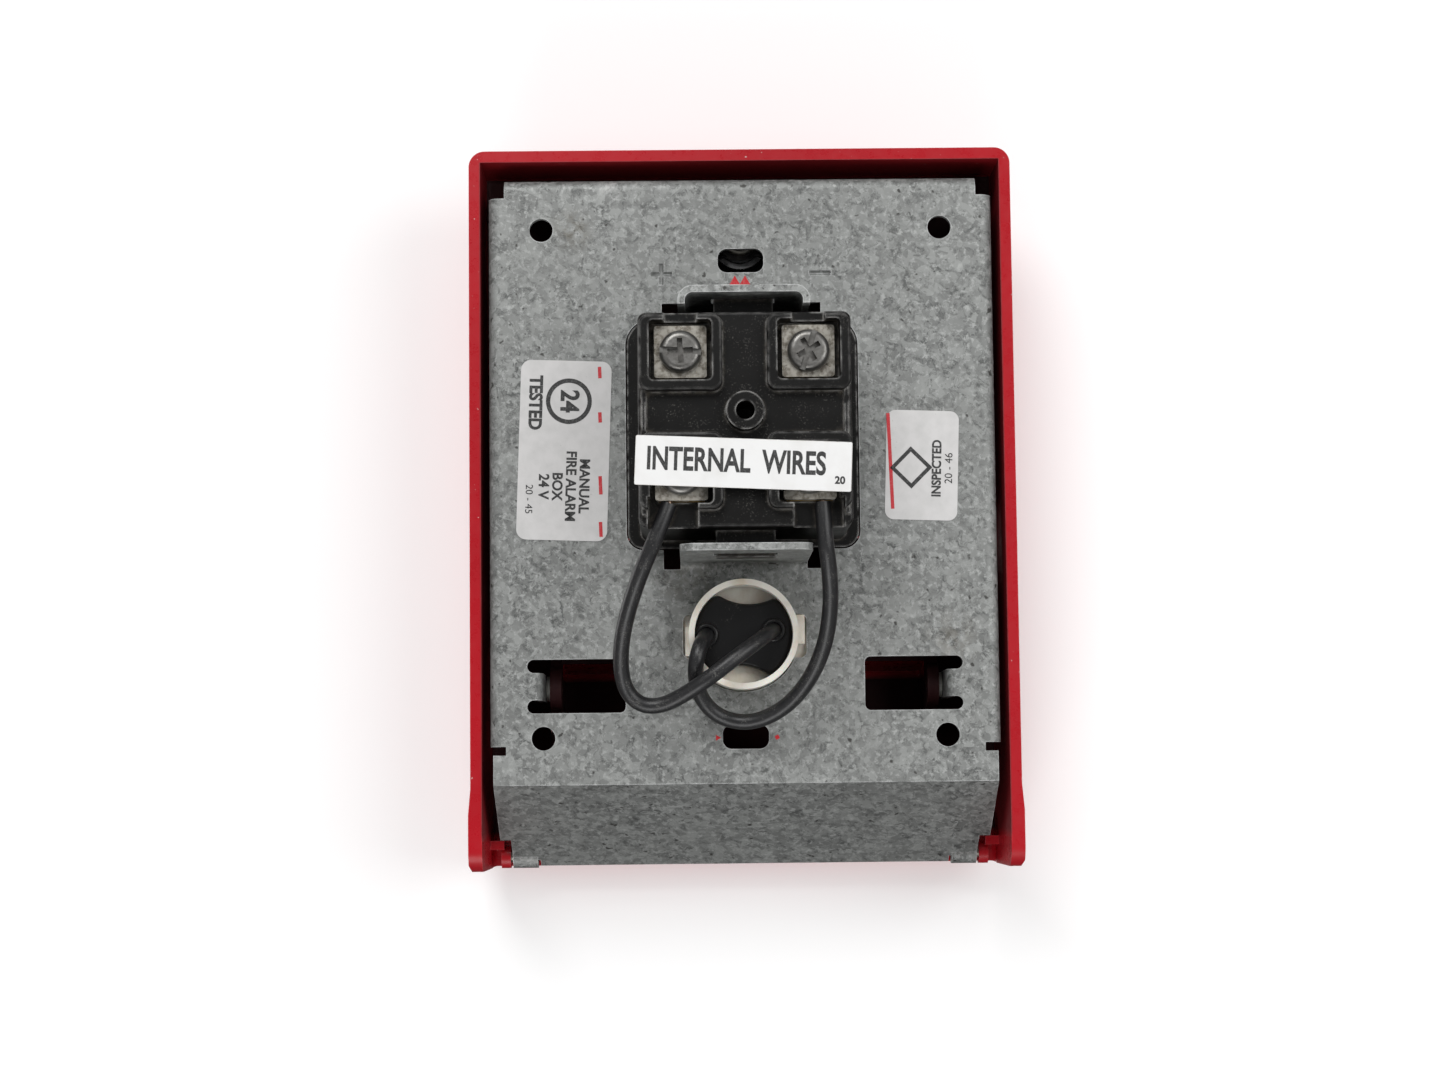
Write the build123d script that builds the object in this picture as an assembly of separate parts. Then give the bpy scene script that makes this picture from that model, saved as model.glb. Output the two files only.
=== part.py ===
"""Wall-mounted manual fire alarm station: a galvanised mounting plate that carries the terminal
block, the switch and the pull lever, and a red moulded cover that swings down on two hinge pins.

Frame: +X to the right of someone who stands in front of it, +Z up, the front faces -Y, and the
plane y = 0 is the wall, against which the plate's back face lies. The origin is the centre of
the plate's four-hole pattern. Millimetres.
"""

from build123d import *
import math
import os

# ---- cover ---------------------------------------------------------------------------------
COVER_WIDTH = 95.3
COVER_TOP = 58.8  # top of the cover above the centre of the hole pattern
COVER_BOTTOM = -67.3
DEPTH_TOP = 17.0  # front face's distance from the wall at the top edge
DEPTH_BOTTOM = 28.5  # and at the bottom edge
COVER_WALL = 2.0
RIM_Y = -0.8  # the rim stops short of the wall, so that it clears it as the cover swings
COVER_TOP_RADIUS = 2.8
COVER_FRONT_RADIUS = 3.2
FLARE = 0.4  # the side walls stand out by this near the bottom
FLARE_FROM, FLARE_FULL, FLARE_TO = -53.0, -57.5, -66.2

# ---- mounting plate ------------------------------------------------------------------------
SHEET = 1.2
SIDE_GAP, TOP_GAP = 1.45, 3.3  # between the plate and the cover's walls
PLATE_WIDTH = COVER_WIDTH - 2 * (COVER_WALL + SIDE_GAP)
PLATE_TOP = COVER_TOP - COVER_WALL - TOP_GAP
SIDE_FLANGE = 9.0
SIDE_FLANGE_TOP, SIDE_FLANGE_BOTTOM = PLATE_TOP - 3.3, -45.8
TOP_FLANGE = 10.0
TOP_FLANGE_HALF = PLATE_WIDTH / 2 - 2.8
BEND_RADIUS = 2.0  # outside of a bend
BEND_INSIDE = 0.8
SKIRT_BEND_Z = -52.5
SKIRT_END_Y, SKIRT_END_Z = -24.5, -66.9
SKIRT_HALF = PLATE_WIDTH / 2 - 0.6
SKIRT_NOTCH_Y = -16.4  # the skirt narrows from here down
SKIRT_TONGUE_HALF = PLATE_WIDTH / 2 - 2.5
RELIEF_HEIGHT = 1.5
STRIKE_HALF = 8.0  # lip at the end of the top flange, behind which the lock's cam turns
STRIKE_LIP = 4.0
HOLE_SPACING_X, HOLE_SPACING_Z = 69.85, 88.9
HOLE_RADIUS = 2.05
SLOT_LENGTH, SLOT_WIDTH = 8.0, 4.2
SLOT_TOP_Z, SLOT_BOTTOM_Z = 38.8, -44.45
MARK_X, MARK_Z, MARK_LENGTH, MARK_WIDTH, MARK_DEPTH = 13.9, 36.5, 3.8, 0.9, 0.4

# ---- ears and the windows they are cut from --------------------------------------------------
EAR_INNER_X = PLATE_WIDTH / 2 - 9.2
EAR_ROOT_X = EAR_INNER_X + 2.7
WINDOW_INNER_X = EAR_INNER_X - 14.3
WINDOW_TOP, WINDOW_BOTTOM = -30.8, -40.1
FINGER = 2.3  # relief slot beside the ear
EAR_REACH = 14.3
PIVOT_Y, PIVOT_Z = -11.5, -35.45

# ---- terminal block and the two arms that hold it --------------------------------------------
BLOCK_HALF = 17.7
BLOCK_BOTTOM, BLOCK_TOP = -10.4, 25.4
BLOCK_BACK = 27.5  # tops of the barriers between the terminals
BLOCK_FRONT = -2.6
BLOCK_STEP = 2.4  # the face between the terminal boxes lies this much lower
POCKET_FLOOR = BLOCK_BACK - 4.9
BOX_HALF, BOX_LOW, BOX_HIGH = 6.9, 6.7, 5.9  # outside of a terminal box from its screw
BOX_WALL, BOX_CORNER = 1.7, 1.6
OPENING_HALF, OPENING_BOTTOM, OPENING_TOP = 20.3, -12.0, 28.6
OPENING_LOW_RADIUS, OPENING_HIGH_RADIUS = 3.0, 4.8
FLANGE_CLEARANCE = 0.25  # between the block's flange and the opening that it fills
SHOULDER_Z, SHOULDER_HEIGHT = 23.4, 1.4
ARM_HALF = 11.0
ARM_REACH = 26.0
ARM_CORNER = 2.5
ARM_LIP, ARM_LIP_RADIUS, ARM_LIP_FROM = 1.9, 2.5, 4.0  # of the upper arm's turned edges
ARM_BEND = 1.4  # inside radius
UPPER_ARM_Z = 28.6  # face towards the block
LOWER_ARM_Z = -13.1
NOTCH_OUTER = 13.9
NOTCH_LENGTH = 2.3
TONGUE_HALF, TONGUE_Y0, TONGUE_Y1 = 5.0, 15.2, 18.6
ARM_SLOT_CLEARANCE = 0.35
BOSS_RADIUS, BOSS_HOLE, BOSS_TOP = 3.2, 1.55, 28.0
TERMINAL_X = 10.6
TERMINAL_Z = {"upper": 18.8, "lower": -1.6}
ENTRY_IN, ENTRY_OUT = 2.7, 5.6  # how far the wire entries reach to each side of a terminal
CLAMP_SIDE, CLAMP_THICKNESS = 8.7, 1.1
BUS_THICKNESS, BUS_HALF = 0.8, 3.9
CONDUCTOR_RADIUS = 0.55
SCREW_RADIUS, SCREW_HEAD_RADIUS, SCREW_HEAD_HEIGHT = 1.5, 3.5, 1.6
SCREW_LENGTH = 9.0
SCREW_ANGLES = {
    ("left", "upper"): (-4, 4), ("left", "lower"): (-20, 30),
    ("right", "upper"): (72, 30), ("right", "lower"): (48, 10),
}  # of the slot and of the cross

# ---- switch --------------------------------------------------------------------------------
SWITCH_X, SWITCH_Z = 0.3, -27.1
BARREL_RADIUS, BARREL_WALL = 9.4, 1.0
BARREL_BACK, BARREL_FRONT = 8.0, -7.0
FLOOR_FRONT, FLOOR_BACK = 0.8, 2.3
COLLAR_RADIUS, COLLAR_THICKNESS = 11.6, 1.4
LUG_REACH, LUG_HEIGHT, LUG_THICKNESS = 10.3, 5.0, 2.2
INSERT_BACK = 5.2
INSERT_WAIST, INSERT_TURN = 5.3, 4.0  # half the bow tie's waist, and how far it is turned
INSERT_BOW = 14.6  # from the middle to the centre of each hollow side
COLLAR_OUT, COLLAR_RISE = 2.1, 0.8  # around each lead
PLUNGER_RADIUS, PLUNGER_BORE, PLUNGER_TIP = 3.0, 2.35, -12.9
CONTACT_Y, CONTACT_THICKNESS, CONTACT_HALF = -2.0, 0.8, 6.6
PLUNGER_TRAVEL = 2.4
FIXED_CONTACT_GAP = 0.1  # left when the plunger is fully out
SPRING_WIRE, SPRING_RADIUS, SPRING_TURNS = 0.35, 1.85, 6

# ---- pull lever ----------------------------------------------------------------------------
DRUM_RADIUS = 15.0
LEVER_WALL = 2.2
LEVER_HALF = EAR_INNER_X - 0.8
DRUM_END_ANGLE, DRUM_START_ANGLE = 60.0, 8.5  # below the forward direction, about the pivot
FRONT_WALL_LENGTH = 18.5
REAR_WALL_Y, REAR_WALL_TOP, REAR_WALL_BOTTOM = -14.0, -9.0, -31.0
HUB_RADIUS, HUB_LENGTH = 4.0, 2.0
HUB_INNER = LEVER_HALF - HUB_LENGTH
GRIP_HALF, GRIP_THICKNESS = LEVER_HALF - 2.2, 3.4
GRIP_FROM, GRIP_TO = 3.0, 21.0  # along the lever's front wall
PIN_RADIUS = 1.25
RUNNING = 0.05  # radial clearance of a pin in its hole

# ---- cover's opening, hinge and lock ----------------------------------------------------------
APERTURE_HALF = LEVER_HALF + 0.6
APERTURE_TOP, APERTURE_BOTTOM = -8.0, -44.0
BORDER, BORDER_HEIGHT = 3.6, 1.2
HOOD_RADIUS, HOOD_WALL = 29.3, 1.5
HINGE_Y, HINGE_Z = -23.7, -65.2
HINGE_PIN_RADIUS, KNUCKLE_RADIUS = 1.0, 2.05
KNUCKLE_LENGTH, KNUCKLE_ROOT_Y = 4.5, -22.7
KNUCKLE_SLIT = 0.4  # between the rolled knuckle and the rest of the skirt's end
LUG_INNER = SKIRT_TONGUE_HALF + 0.4
LUG_OUTER = LUG_INNER + 1.7
LUG_TIP_Z = -66.6
LUG_BAR_TOP, LUG_BAR_BOTTOM = -62.3, -63.9
LOCK_Z = COVER_TOP - 14.8
LOCK_RADIUS, LOCK_FLANGE_RADIUS, LOCK_BOSS_RADIUS = 5.0, 6.6, 9.0
LOCK_FRONT_Y, LOCK_SEAT_Y, LOCK_REAR_Y = -21.4, -20.0, -9.0
NUT_FLATS, NUT_THICKNESS, WASHER_THICKNESS = 13.0, 2.5, 0.8
CAM_REACH, CAM_HALF, CAM_THICKNESS, CAM_Y = 7.8, 2.9, 1.5, -8.1
PLUG_RADIUS = 3.6

# ---- labels and lead wires ----------------------------------------------------------------------
LABEL = 0.12
LABEL_ROOM = PLATE_WIDTH / 2 - OPENING_HALF  # beside the block's opening
RATING_EDGE, RATING_GAP = 5.2, 2.9  # from the plate's side and from the opening
APPROVAL_EDGE, APPROVAL_GAP = 6.7, 4.6
WIRE_DIAMETER = 2.7
LEAD_WIRE_LEFT = [
    (12.7, 24.0, -6.4), (14.7, 24.3, -11.6), (17.3, 22.6, -17.1), (19.6, 19.2, -23.1),
    (21.0, 15.6, -28.7), (21.2, 12.8, -33.6), (20.2, 11.3, -37.1), (17.7, 10.8, -39.3),
    (14.2, 11.0, -39.3), (10.3, 12.4, -37.4), (6.0, 13.9, -34.6), (2.1, 13.7, -31.6),
    (-1.6, 12.0, -28.9), (-4.2, 9.0, -26.9), (-4.9, 5.2, -26.4),
]
LEAD_WIRE_RIGHT = [
    (-12.7, 24.0, -6.4), (-12.9, 24.4, -12.0), (-13.8, 22.0, -17.6), (-14.1, 18.2, -23.4),
    (-13.2, 14.4, -29.6), (-10.7, 10.8, -35.3), (-6.5, 7.4, -40.0), (-0.8, 5.2, -42.4),
    (4.4, 4.9, -41.4), (7.6, 6.6, -38.4), (8.7, 9.6, -34.6), (8.4, 11.3, -31.1),
    (7.3, 9.3, -28.1), (6.6, 5.2, -27.1),
]


# ---- helpers ---------------------------------------------------------------------------------
def block(x0, x1, y0, y1, z0, z1):
    return Pos((x0 + x1) / 2, (y0 + y1) / 2, (z0 + z1) / 2) * Box(x1 - x0, y1 - y0, z1 - z0)


def slab(sketch, y0, y1):
    """A sketch in x and z, drawn as local x and y, made thick from y0 to y1."""
    return extrude(Plane.XZ.offset(-y1) * sketch, amount=y1 - y0)


def rail(sketch, x0, x1):
    """A sketch in y and z, drawn as local x and y, made long from x0 to x1."""
    return extrude(Plane.YZ.offset(x0) * sketch, amount=x1 - x0)


def rod_y(x, z, radius, y0, y1):
    return slab(Pos(x, z) * Circle(radius), y0, y1)


def rod_x(y, z, radius, x0, x1):
    return rail(Pos(y, z) * Circle(radius), x0, x1)


def rect(a0, a1, b0, b1, radius=0.0):
    place = Pos((a0 + a1) / 2, (b0 + b1) / 2)
    if radius:
        return place * RectangleRounded(a1 - a0, b1 - b0, radius)
    return place * Rectangle(a1 - a0, b1 - b0)


def area(*points):
    return make_face(Polyline(*points, close=True))


def both_sides(shape):
    return shape + mirror(shape, about=Plane.YZ)


def front_y(z):
    """The cover's outer front surface at a height."""
    slope = (DEPTH_BOTTOM - DEPTH_TOP) / (COVER_TOP - COVER_BOTTOM)
    return -(DEPTH_TOP + (COVER_TOP - z) * slope)


def about_pivot(radius, angle):
    """A point around the lever's pivot: 0 is forward, and a positive angle is below forward."""
    a = math.radians(angle)
    return (PIVOT_Y - radius * math.cos(a), PIVOT_Z - radius * math.sin(a))


def save(name, shape):
    solids = shape.solids()
    shape = solids[0] if len(solids) == 1 else Compound(children=list(solids))
    export_step(shape, f"parts/{name}.step")


# ---- mounting plate ------------------------------------------------------------------------
def skirt_z(y):
    return SKIRT_BEND_Z + (SKIRT_END_Z - SKIRT_BEND_Z) * y / SKIRT_END_Y


def mounting_plate():
    half = PLATE_WIDTH / 2
    # side flanges: one channel section with rounded bends
    outer = rect(-half, half, -SIDE_FLANGE, 0)
    outer = fillet(outer.vertices().group_by(Axis.Y)[-1], BEND_RADIUS)
    inner = rect(-half + SHEET, half - SHEET, -SIDE_FLANGE - 1, -SHEET)
    inner = fillet(inner.vertices().group_by(Axis.Y)[-1], BEND_INSIDE)
    channel = extrude(
        Plane.XY.offset(SIDE_FLANGE_BOTTOM) * (outer - inner),
        amount=SIDE_FLANGE_TOP - SIDE_FLANGE_BOTTOM,
    )
    # top flange with the strike lip
    roof = rect(-TOP_FLANGE, 0, 0, PLATE_TOP)
    roof = fillet(roof.vertices().group_by(Axis.Y)[-1].sort_by(Axis.X)[-1], BEND_RADIUS)
    hollow = rect(-TOP_FLANGE - 1, -SHEET, -1, PLATE_TOP - SHEET)
    hollow = fillet(hollow.vertices().group_by(Axis.Y)[-1].sort_by(Axis.X)[-1], BEND_INSIDE)
    top = rail(roof - hollow, -TOP_FLANGE_HALF, TOP_FLANGE_HALF)
    lip_z = (PLATE_TOP - STRIKE_LIP, PLATE_TOP - SHEET / 2)
    lip = block(-STRIKE_HALF, STRIKE_HALF, -TOP_FLANGE, -TOP_FLANGE + SHEET, *lip_z)
    # flat web between the flanges, and the sloping skirt below it
    web = block(-TOP_FLANGE_HALF, TOP_FLANGE_HALF, -SHEET, 0, SKIRT_BEND_Z, 1)
    foot = block(-SKIRT_HALF, SKIRT_HALF, -SHEET, 0, SKIRT_BEND_Z, SIDE_FLANGE_BOTTOM - RELIEF_HEIGHT)
    slope = math.atan2(SKIRT_BEND_Z - SKIRT_END_Z, -SKIRT_END_Y)
    nudge = SHEET * math.tan((math.pi / 2 - slope) / 2)
    down = (math.cos(slope) * SHEET, math.sin(slope) * SHEET)

    def skirt_part(y0, y1, x_half):
        z0, z1 = skirt_z(y0), skirt_z(y1)
        face = area((y0, z0), (y1, z1), (y1 - down[1], z1 + down[0]), (y0 - down[1], z0 + down[0]))
        return rail(face, -x_half, x_half)

    bend_face = area(
        (0, SKIRT_BEND_Z), (-down[1], SKIRT_BEND_Z + down[0]), (-SHEET, SKIRT_BEND_Z + nudge),
        (-SHEET, SKIRT_BEND_Z + 3), (0, SKIRT_BEND_Z + 3),
    )
    skirt = rail(bend_face, -SKIRT_HALF, SKIRT_HALF)
    skirt += skirt_part(0, SKIRT_NOTCH_Y, SKIRT_HALF)
    skirt += skirt_part(SKIRT_NOTCH_Y + 1, KNUCKLE_ROOT_Y, SKIRT_TONGUE_HALF)
    knuckle_inner_x = SKIRT_TONGUE_HALF - KNUCKLE_LENGTH
    skirt += skirt_part(KNUCKLE_ROOT_Y + 1, SKIRT_END_Y, knuckle_inner_x - KNUCKLE_SLIT)
    plate = channel + top + web + foot + skirt + lip
    # the skirt's end is rolled into a knuckle at each corner, for the cover's hinge pins
    knuckle = rod_x(HINGE_Y, HINGE_Z, KNUCKLE_RADIUS, knuckle_inner_x, SKIRT_TONGUE_HALF)
    plate += both_sides(knuckle)
    slit_x = (knuckle_inner_x - KNUCKLE_SLIT, knuckle_inner_x)
    slit = block(*slit_x, SKIRT_END_Y - 3, KNUCKLE_ROOT_Y, SKIRT_END_Z - 3, HINGE_Z + 4)
    bore = rod_x(HINGE_Y, HINGE_Z, HINGE_PIN_RADIUS + RUNNING, knuckle_inner_x - KNUCKLE_SLIT, half)
    plate -= both_sides(slit) + both_sides(bore)
    # lever ears, cut from the windows and bent forward
    ear_low, ear_high = WINDOW_BOTTOM + FINGER, WINDOW_TOP - FINGER
    window = rect(WINDOW_INNER_X, EAR_INNER_X, WINDOW_BOTTOM, WINDOW_TOP, 1.0)
    window += rect(EAR_INNER_X - 2, EAR_INNER_X, WINDOW_BOTTOM, WINDOW_TOP)
    for z0 in (WINDOW_BOTTOM, ear_high):
        window += rect(EAR_INNER_X - 3, EAR_ROOT_X, z0, z0 + FINGER, FINGER / 2 - 0.01)
    plate -= both_sides(slab(window, -SHEET - 1, 1))
    turn = rect(EAR_INNER_X, EAR_ROOT_X + 1, -EAR_REACH, 0)
    turn = fillet(turn.vertices().group_by(Axis.Y)[-1].sort_by(Axis.X)[0], BEND_RADIUS)
    bite = rect(EAR_INNER_X + SHEET, EAR_ROOT_X + 2, -EAR_REACH - 1, -SHEET)
    bite = fillet(bite.vertices().group_by(Axis.Y)[-1].sort_by(Axis.X)[0], BEND_INSIDE)
    lever_ear = extrude(Plane.XY.offset(ear_low) * (turn - bite), amount=ear_high - ear_low)
    corner = rect(EAR_INNER_X - 1, EAR_ROOT_X, -BEND_RADIUS, 1)
    plate -= both_sides(extrude(Plane.XY.offset(ear_low) * corner, amount=ear_high - ear_low))
    plate += both_sides(lever_ear)
    plate -= rod_x(PIVOT_Y, PIVOT_Z, PIN_RADIUS + RUNNING, -half, half)
    # opening for the terminal block, with the bend reliefs of its two arms
    opening = rect(-OPENING_HALF, OPENING_HALF, OPENING_BOTTOM, OPENING_TOP)
    opening = fillet(opening.vertices().group_by(Axis.Y)[0], OPENING_LOW_RADIUS)
    opening = fillet(opening.vertices().group_by(Axis.Y)[-1], OPENING_HIGH_RADIUS)
    low, high = LOWER_ARM_Z - NOTCH_LENGTH, UPPER_ARM_Z + NOTCH_LENGTH + 0.4
    opening += rect(-NOTCH_OUTER, NOTCH_OUTER, low, OPENING_BOTTOM + 1)
    opening += rect(-NOTCH_OUTER, NOTCH_OUTER, OPENING_TOP - 1, high)
    plate -= slab(opening, -SHEET - 1, 1)
    plate += arm(UPPER_ARM_Z, high, 1) + arm(LOWER_ARM_Z, low, -1)
    # the upper arm's side edges are turned down towards the block, which stiffens it
    outer = rect(-ARM_HALF, ARM_HALF, UPPER_ARM_Z - ARM_LIP, UPPER_ARM_Z + SHEET)
    outer = fillet(outer.vertices().group_by(Axis.Y)[-1], ARM_LIP_RADIUS)
    inner = rect(-ARM_HALF + SHEET, ARM_HALF - SHEET, UPPER_ARM_Z - ARM_LIP - 1, UPPER_ARM_Z)
    inner = fillet(inner.vertices().group_by(Axis.Y)[-1], ARM_LIP_RADIUS - SHEET)
    edge = ARM_HALF - ARM_LIP_RADIUS
    sides = outer - inner - rect(-edge, edge, UPPER_ARM_Z - ARM_LIP - 1, UPPER_ARM_Z + SHEET + 1)
    square = rect(-ARM_HALF - 1, ARM_HALF + 1, UPPER_ARM_Z - 1, UPPER_ARM_Z + SHEET + 1)
    square -= rect(-edge, edge, UPPER_ARM_Z - 1, UPPER_ARM_Z + SHEET + 1)
    plate -= slab(square, ARM_LIP_FROM, ARM_REACH + 1)
    plate += slab(sides, ARM_LIP_FROM, ARM_REACH)
    # switch hole, with the side notches that its lugs pass through
    hole = Pos(SWITCH_X, SWITCH_Z) * Circle(BARREL_RADIUS + 0.25)
    hole += rect(-LUG_REACH - 0.4, LUG_REACH + 0.4, SWITCH_Z - 3.8, SWITCH_Z + 3.8, 1.2)
    plate -= slab(hole, -SHEET - 1, 1)
    # screw holes, box slots and the two polarity marks
    for x in (-HOLE_SPACING_X / 2, HOLE_SPACING_X / 2):
        for z in (-HOLE_SPACING_Z / 2, HOLE_SPACING_Z / 2):
            plate -= rod_y(x, z, HOLE_RADIUS, -SHEET - 1, 1)
    for z in (SLOT_TOP_Z, SLOT_BOTTOM_Z):
        slot = rect(-SLOT_LENGTH / 2, SLOT_LENGTH / 2, z - SLOT_WIDTH / 2, z + SLOT_WIDTH / 2, 1.6)
        plate -= slab(slot, -SHEET - 1, 1)
    bar = MARK_LENGTH / 2
    across = area((0, MARK_Z - MARK_WIDTH / 2), (0, MARK_Z + MARK_WIDTH / 2), (-MARK_DEPTH, MARK_Z))
    for x in (-MARK_X, MARK_X):
        plate -= rail(across, x - bar, x + bar)
    upright = area((MARK_X - MARK_WIDTH / 2, 0), (MARK_X + MARK_WIDTH / 2, 0), (MARK_X, -MARK_DEPTH))
    return plate - extrude(Plane.XY.offset(MARK_Z - bar) * upright, amount=MARK_LENGTH)


def arm(face_z, root_z, side):
    """One arm that stands out behind the plate; side is 1 above the block and -1 below it."""
    far_z = face_z + side * SHEET
    strip = rect(-SHEET, ARM_REACH, min(face_z, far_z), max(face_z, far_z))
    root = rect(-SHEET, 0, min(face_z, root_z), max(face_z, root_z))
    gusset = rect(-0.1, ARM_BEND, *sorted((far_z, far_z + side * ARM_BEND)))
    gusset -= Pos(ARM_BEND, far_z + side * ARM_BEND) * Circle(ARM_BEND)
    section = strip + root + gusset
    convex = rect(-SHEET - 1, -SHEET + BEND_RADIUS, *sorted((face_z - side, face_z + side * BEND_RADIUS)))
    convex -= Pos(-SHEET + BEND_RADIUS, face_z + side * BEND_RADIUS) * Circle(BEND_RADIUS)
    section -= convex
    solid = rail(section, -ARM_HALF, ARM_HALF)
    keep = rect(-ARM_HALF, ARM_HALF, -SHEET, ARM_REACH)
    keep = fillet(keep.vertices().group_by(Axis.Y)[-1], ARM_CORNER)
    z0 = min(face_z, root_z) - 5
    solid &= extrude(Plane.XY.offset(z0) * keep, amount=abs(root_z - face_z) + 10)
    slot = block(
        -TONGUE_HALF - ARM_SLOT_CLEARANCE, TONGUE_HALF + ARM_SLOT_CLEARANCE,
        TONGUE_Y0 - ARM_SLOT_CLEARANCE, TONGUE_Y1 + ARM_SLOT_CLEARANCE, face_z - 2, face_z + 2,
    )
    return solid - slot


def hinge_pins():
    """Two headed pins, each from the rolled knuckle out through the cover's lug."""
    x0 = SKIRT_TONGUE_HALF - KNUCKLE_LENGTH
    shank = rod_x(HINGE_Y, HINGE_Z, HINGE_PIN_RADIUS, x0 + 0.1, LUG_OUTER - 0.1)
    return both_sides(shank)


# ---- terminal block ----------------------------------------------------------------------------
def terminal_box(side, row):
    """Outline of the raised box around a terminal; the side where its wire comes in is open."""
    x, z = side * TERMINAL_X, TERMINAL_Z[row]
    low, high = (BOX_LOW, BOX_HIGH) if row == "upper" else (BOX_HIGH, BOX_LOW)
    return rect(x - BOX_HALF, x + BOX_HALF, z - low, z + high, BOX_CORNER)


def terminal_block():
    step_y = BLOCK_BACK - BLOCK_STEP
    body = block(-BLOCK_HALF, BLOCK_HALF, 0, step_y, BLOCK_BOTTOM, BLOCK_TOP)
    body = fillet(body.edges().filter_by(Axis.Y), 1.4)
    body = fillet(body.faces().sort_by(Axis.Y)[-1].edges(), 0.5)
    nose = rect(-BLOCK_HALF + 1.5, BLOCK_HALF - 1.5, BLOCK_BOTTOM + 1.5, BLOCK_TOP - 1.5, 1.0)
    fit = FLANGE_CLEARANCE
    flange = rect(-OPENING_HALF + fit, OPENING_HALF - fit, OPENING_BOTTOM + fit, OPENING_TOP - fit)
    flange = fillet(flange.vertices().group_by(Axis.Y)[0], OPENING_LOW_RADIUS - fit)
    flange = fillet(flange.vertices().group_by(Axis.Y)[-1], OPENING_HIGH_RADIUS - fit)
    shoulder = flange & rect(-BLOCK_HALF, BLOCK_HALF, SHOULDER_Z, OPENING_TOP)
    body += slab(nose, BLOCK_FRONT, 0.5)
    body += slab(flange, -SHEET, 0.3) + slab(shoulder, -SHEET, SHOULDER_HEIGHT)
    for z0, z1 in ((BLOCK_TOP - 1, UPPER_ARM_Z + SHEET + 0.6), (LOWER_ARM_Z - SHEET - 0.6, BLOCK_BOTTOM + 1)):
        body += block(-TONGUE_HALF, TONGUE_HALF, TONGUE_Y0, TONGUE_Y1, z0, z1)
    # a raised box with rounded corners around each terminal, and thin ribs along the edges
    for side in (-1, 1):
        for row in TERMINAL_Z:
            box = slab(terminal_box(side, row), step_y - 1, BLOCK_BACK)
            body += fillet(box.faces().sort_by(Axis.Y)[-1].edges(), 0.4)
        x0, x1 = sorted((side * (BLOCK_HALF - 1.3), side * (BLOCK_HALF - 0.6)))
        body += block(x0, x1, step_y - 0.5, step_y + 0.9, BLOCK_BOTTOM + 2, BLOCK_TOP - 4)
    # pockets for the terminals, with the ways in for the wires
    for side in (-1, 1):
        x = side * TERMINAL_X
        for row, z in TERMINAL_Z.items():
            reach, closed, opened = BOX_HALF - BOX_WALL, BOX_LOW - BOX_WALL, BOX_HIGH - BOX_WALL / 2
            low, high = (closed, opened) if row == "upper" else (opened, closed)
            body -= slab(rect(x - reach, x + reach, z - low, z + high, 0.8), POCKET_FLOOR, BLOCK_BACK + 1)
        out = sorted((x - side * ENTRY_IN, x + side * ENTRY_OUT))
        z1 = TERMINAL_Z["lower"] - BOX_HIGH + 2
        body -= block(*out, POCKET_FLOOR, BLOCK_BACK + 1, BLOCK_BOTTOM - 1, z1)
        z0 = TERMINAL_Z["upper"] + BOX_HIGH - 2
        body -= block(x - ENTRY_IN, x + ENTRY_IN, POCKET_FLOOR + 1.5, BLOCK_BACK + 1, z0, BLOCK_TOP + 1)
    centre_z = (TERMINAL_Z["upper"] + TERMINAL_Z["lower"]) / 2
    body += rod_y(0, centre_z, BOSS_RADIUS, POCKET_FLOOR, BOSS_TOP)
    body -= rod_y(0, centre_z, BOSS_HOLE, BOSS_TOP - 10, BOSS_TOP + 1)
    # grooves for the bus bars and holes for the screws
    for side in (-1, 1):
        x = side * TERMINAL_X
        body -= block(x - BUS_HALF, x + BUS_HALF, POCKET_FLOOR - BUS_THICKNESS, POCKET_FLOOR + 0.01,
                      TERMINAL_Z["lower"] - 4.5, TERMINAL_Z["upper"] + 4.5)
        for z in TERMINAL_Z.values():
            body -= rod_y(x, z, SCREW_RADIUS + 0.4, POCKET_FLOOR - SCREW_LENGTH, POCKET_FLOOR + 1)
    return body


def bus_bar(side):
    """Brass strip under the two clamps of one side, with a tapped hole at each."""
    x = side * TERMINAL_X
    bar = block(x - BUS_HALF + 0.05, x + BUS_HALF - 0.05, POCKET_FLOOR - BUS_THICKNESS, POCKET_FLOOR,
                TERMINAL_Z["lower"] - 4.4, TERMINAL_Z["upper"] + 4.4)
    for z in TERMINAL_Z.values():
        bar -= rod_y(x, z, SCREW_RADIUS + 0.02, 0, BLOCK_BACK)
    return bar


def clamp_plate(x, z):
    """Square pressure plate with turned-down edges, through which the terminal screw passes."""
    y0 = POCKET_FLOOR + 2 * CONDUCTOR_RADIUS + 0.05
    half = CLAMP_SIDE / 2
    plate = slab(rect(x - half, x + half, z - half, z + half, 0.5), y0, y0 + CLAMP_THICKNESS)
    for edge in (-1, 1):
        edge_z = sorted((z + edge * half, z + edge * (half - 0.7)))
        plate += block(x - half + 0.5, x + half - 0.5, y0 - 0.7, y0 + 0.2, *edge_z)
    cut = block(x + 1.2, x + half - 1, y0 - 1, y0 + 0.001, z - half - 1, z + half + 1)
    cut += block(x - half + 1, x - 1.2, y0 - 1, y0 + 0.001, z - half - 1, z + half + 1)
    return plate - cut - rod_y(x, z, SCREW_RADIUS + 0.25, 0, BLOCK_BACK)


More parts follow.
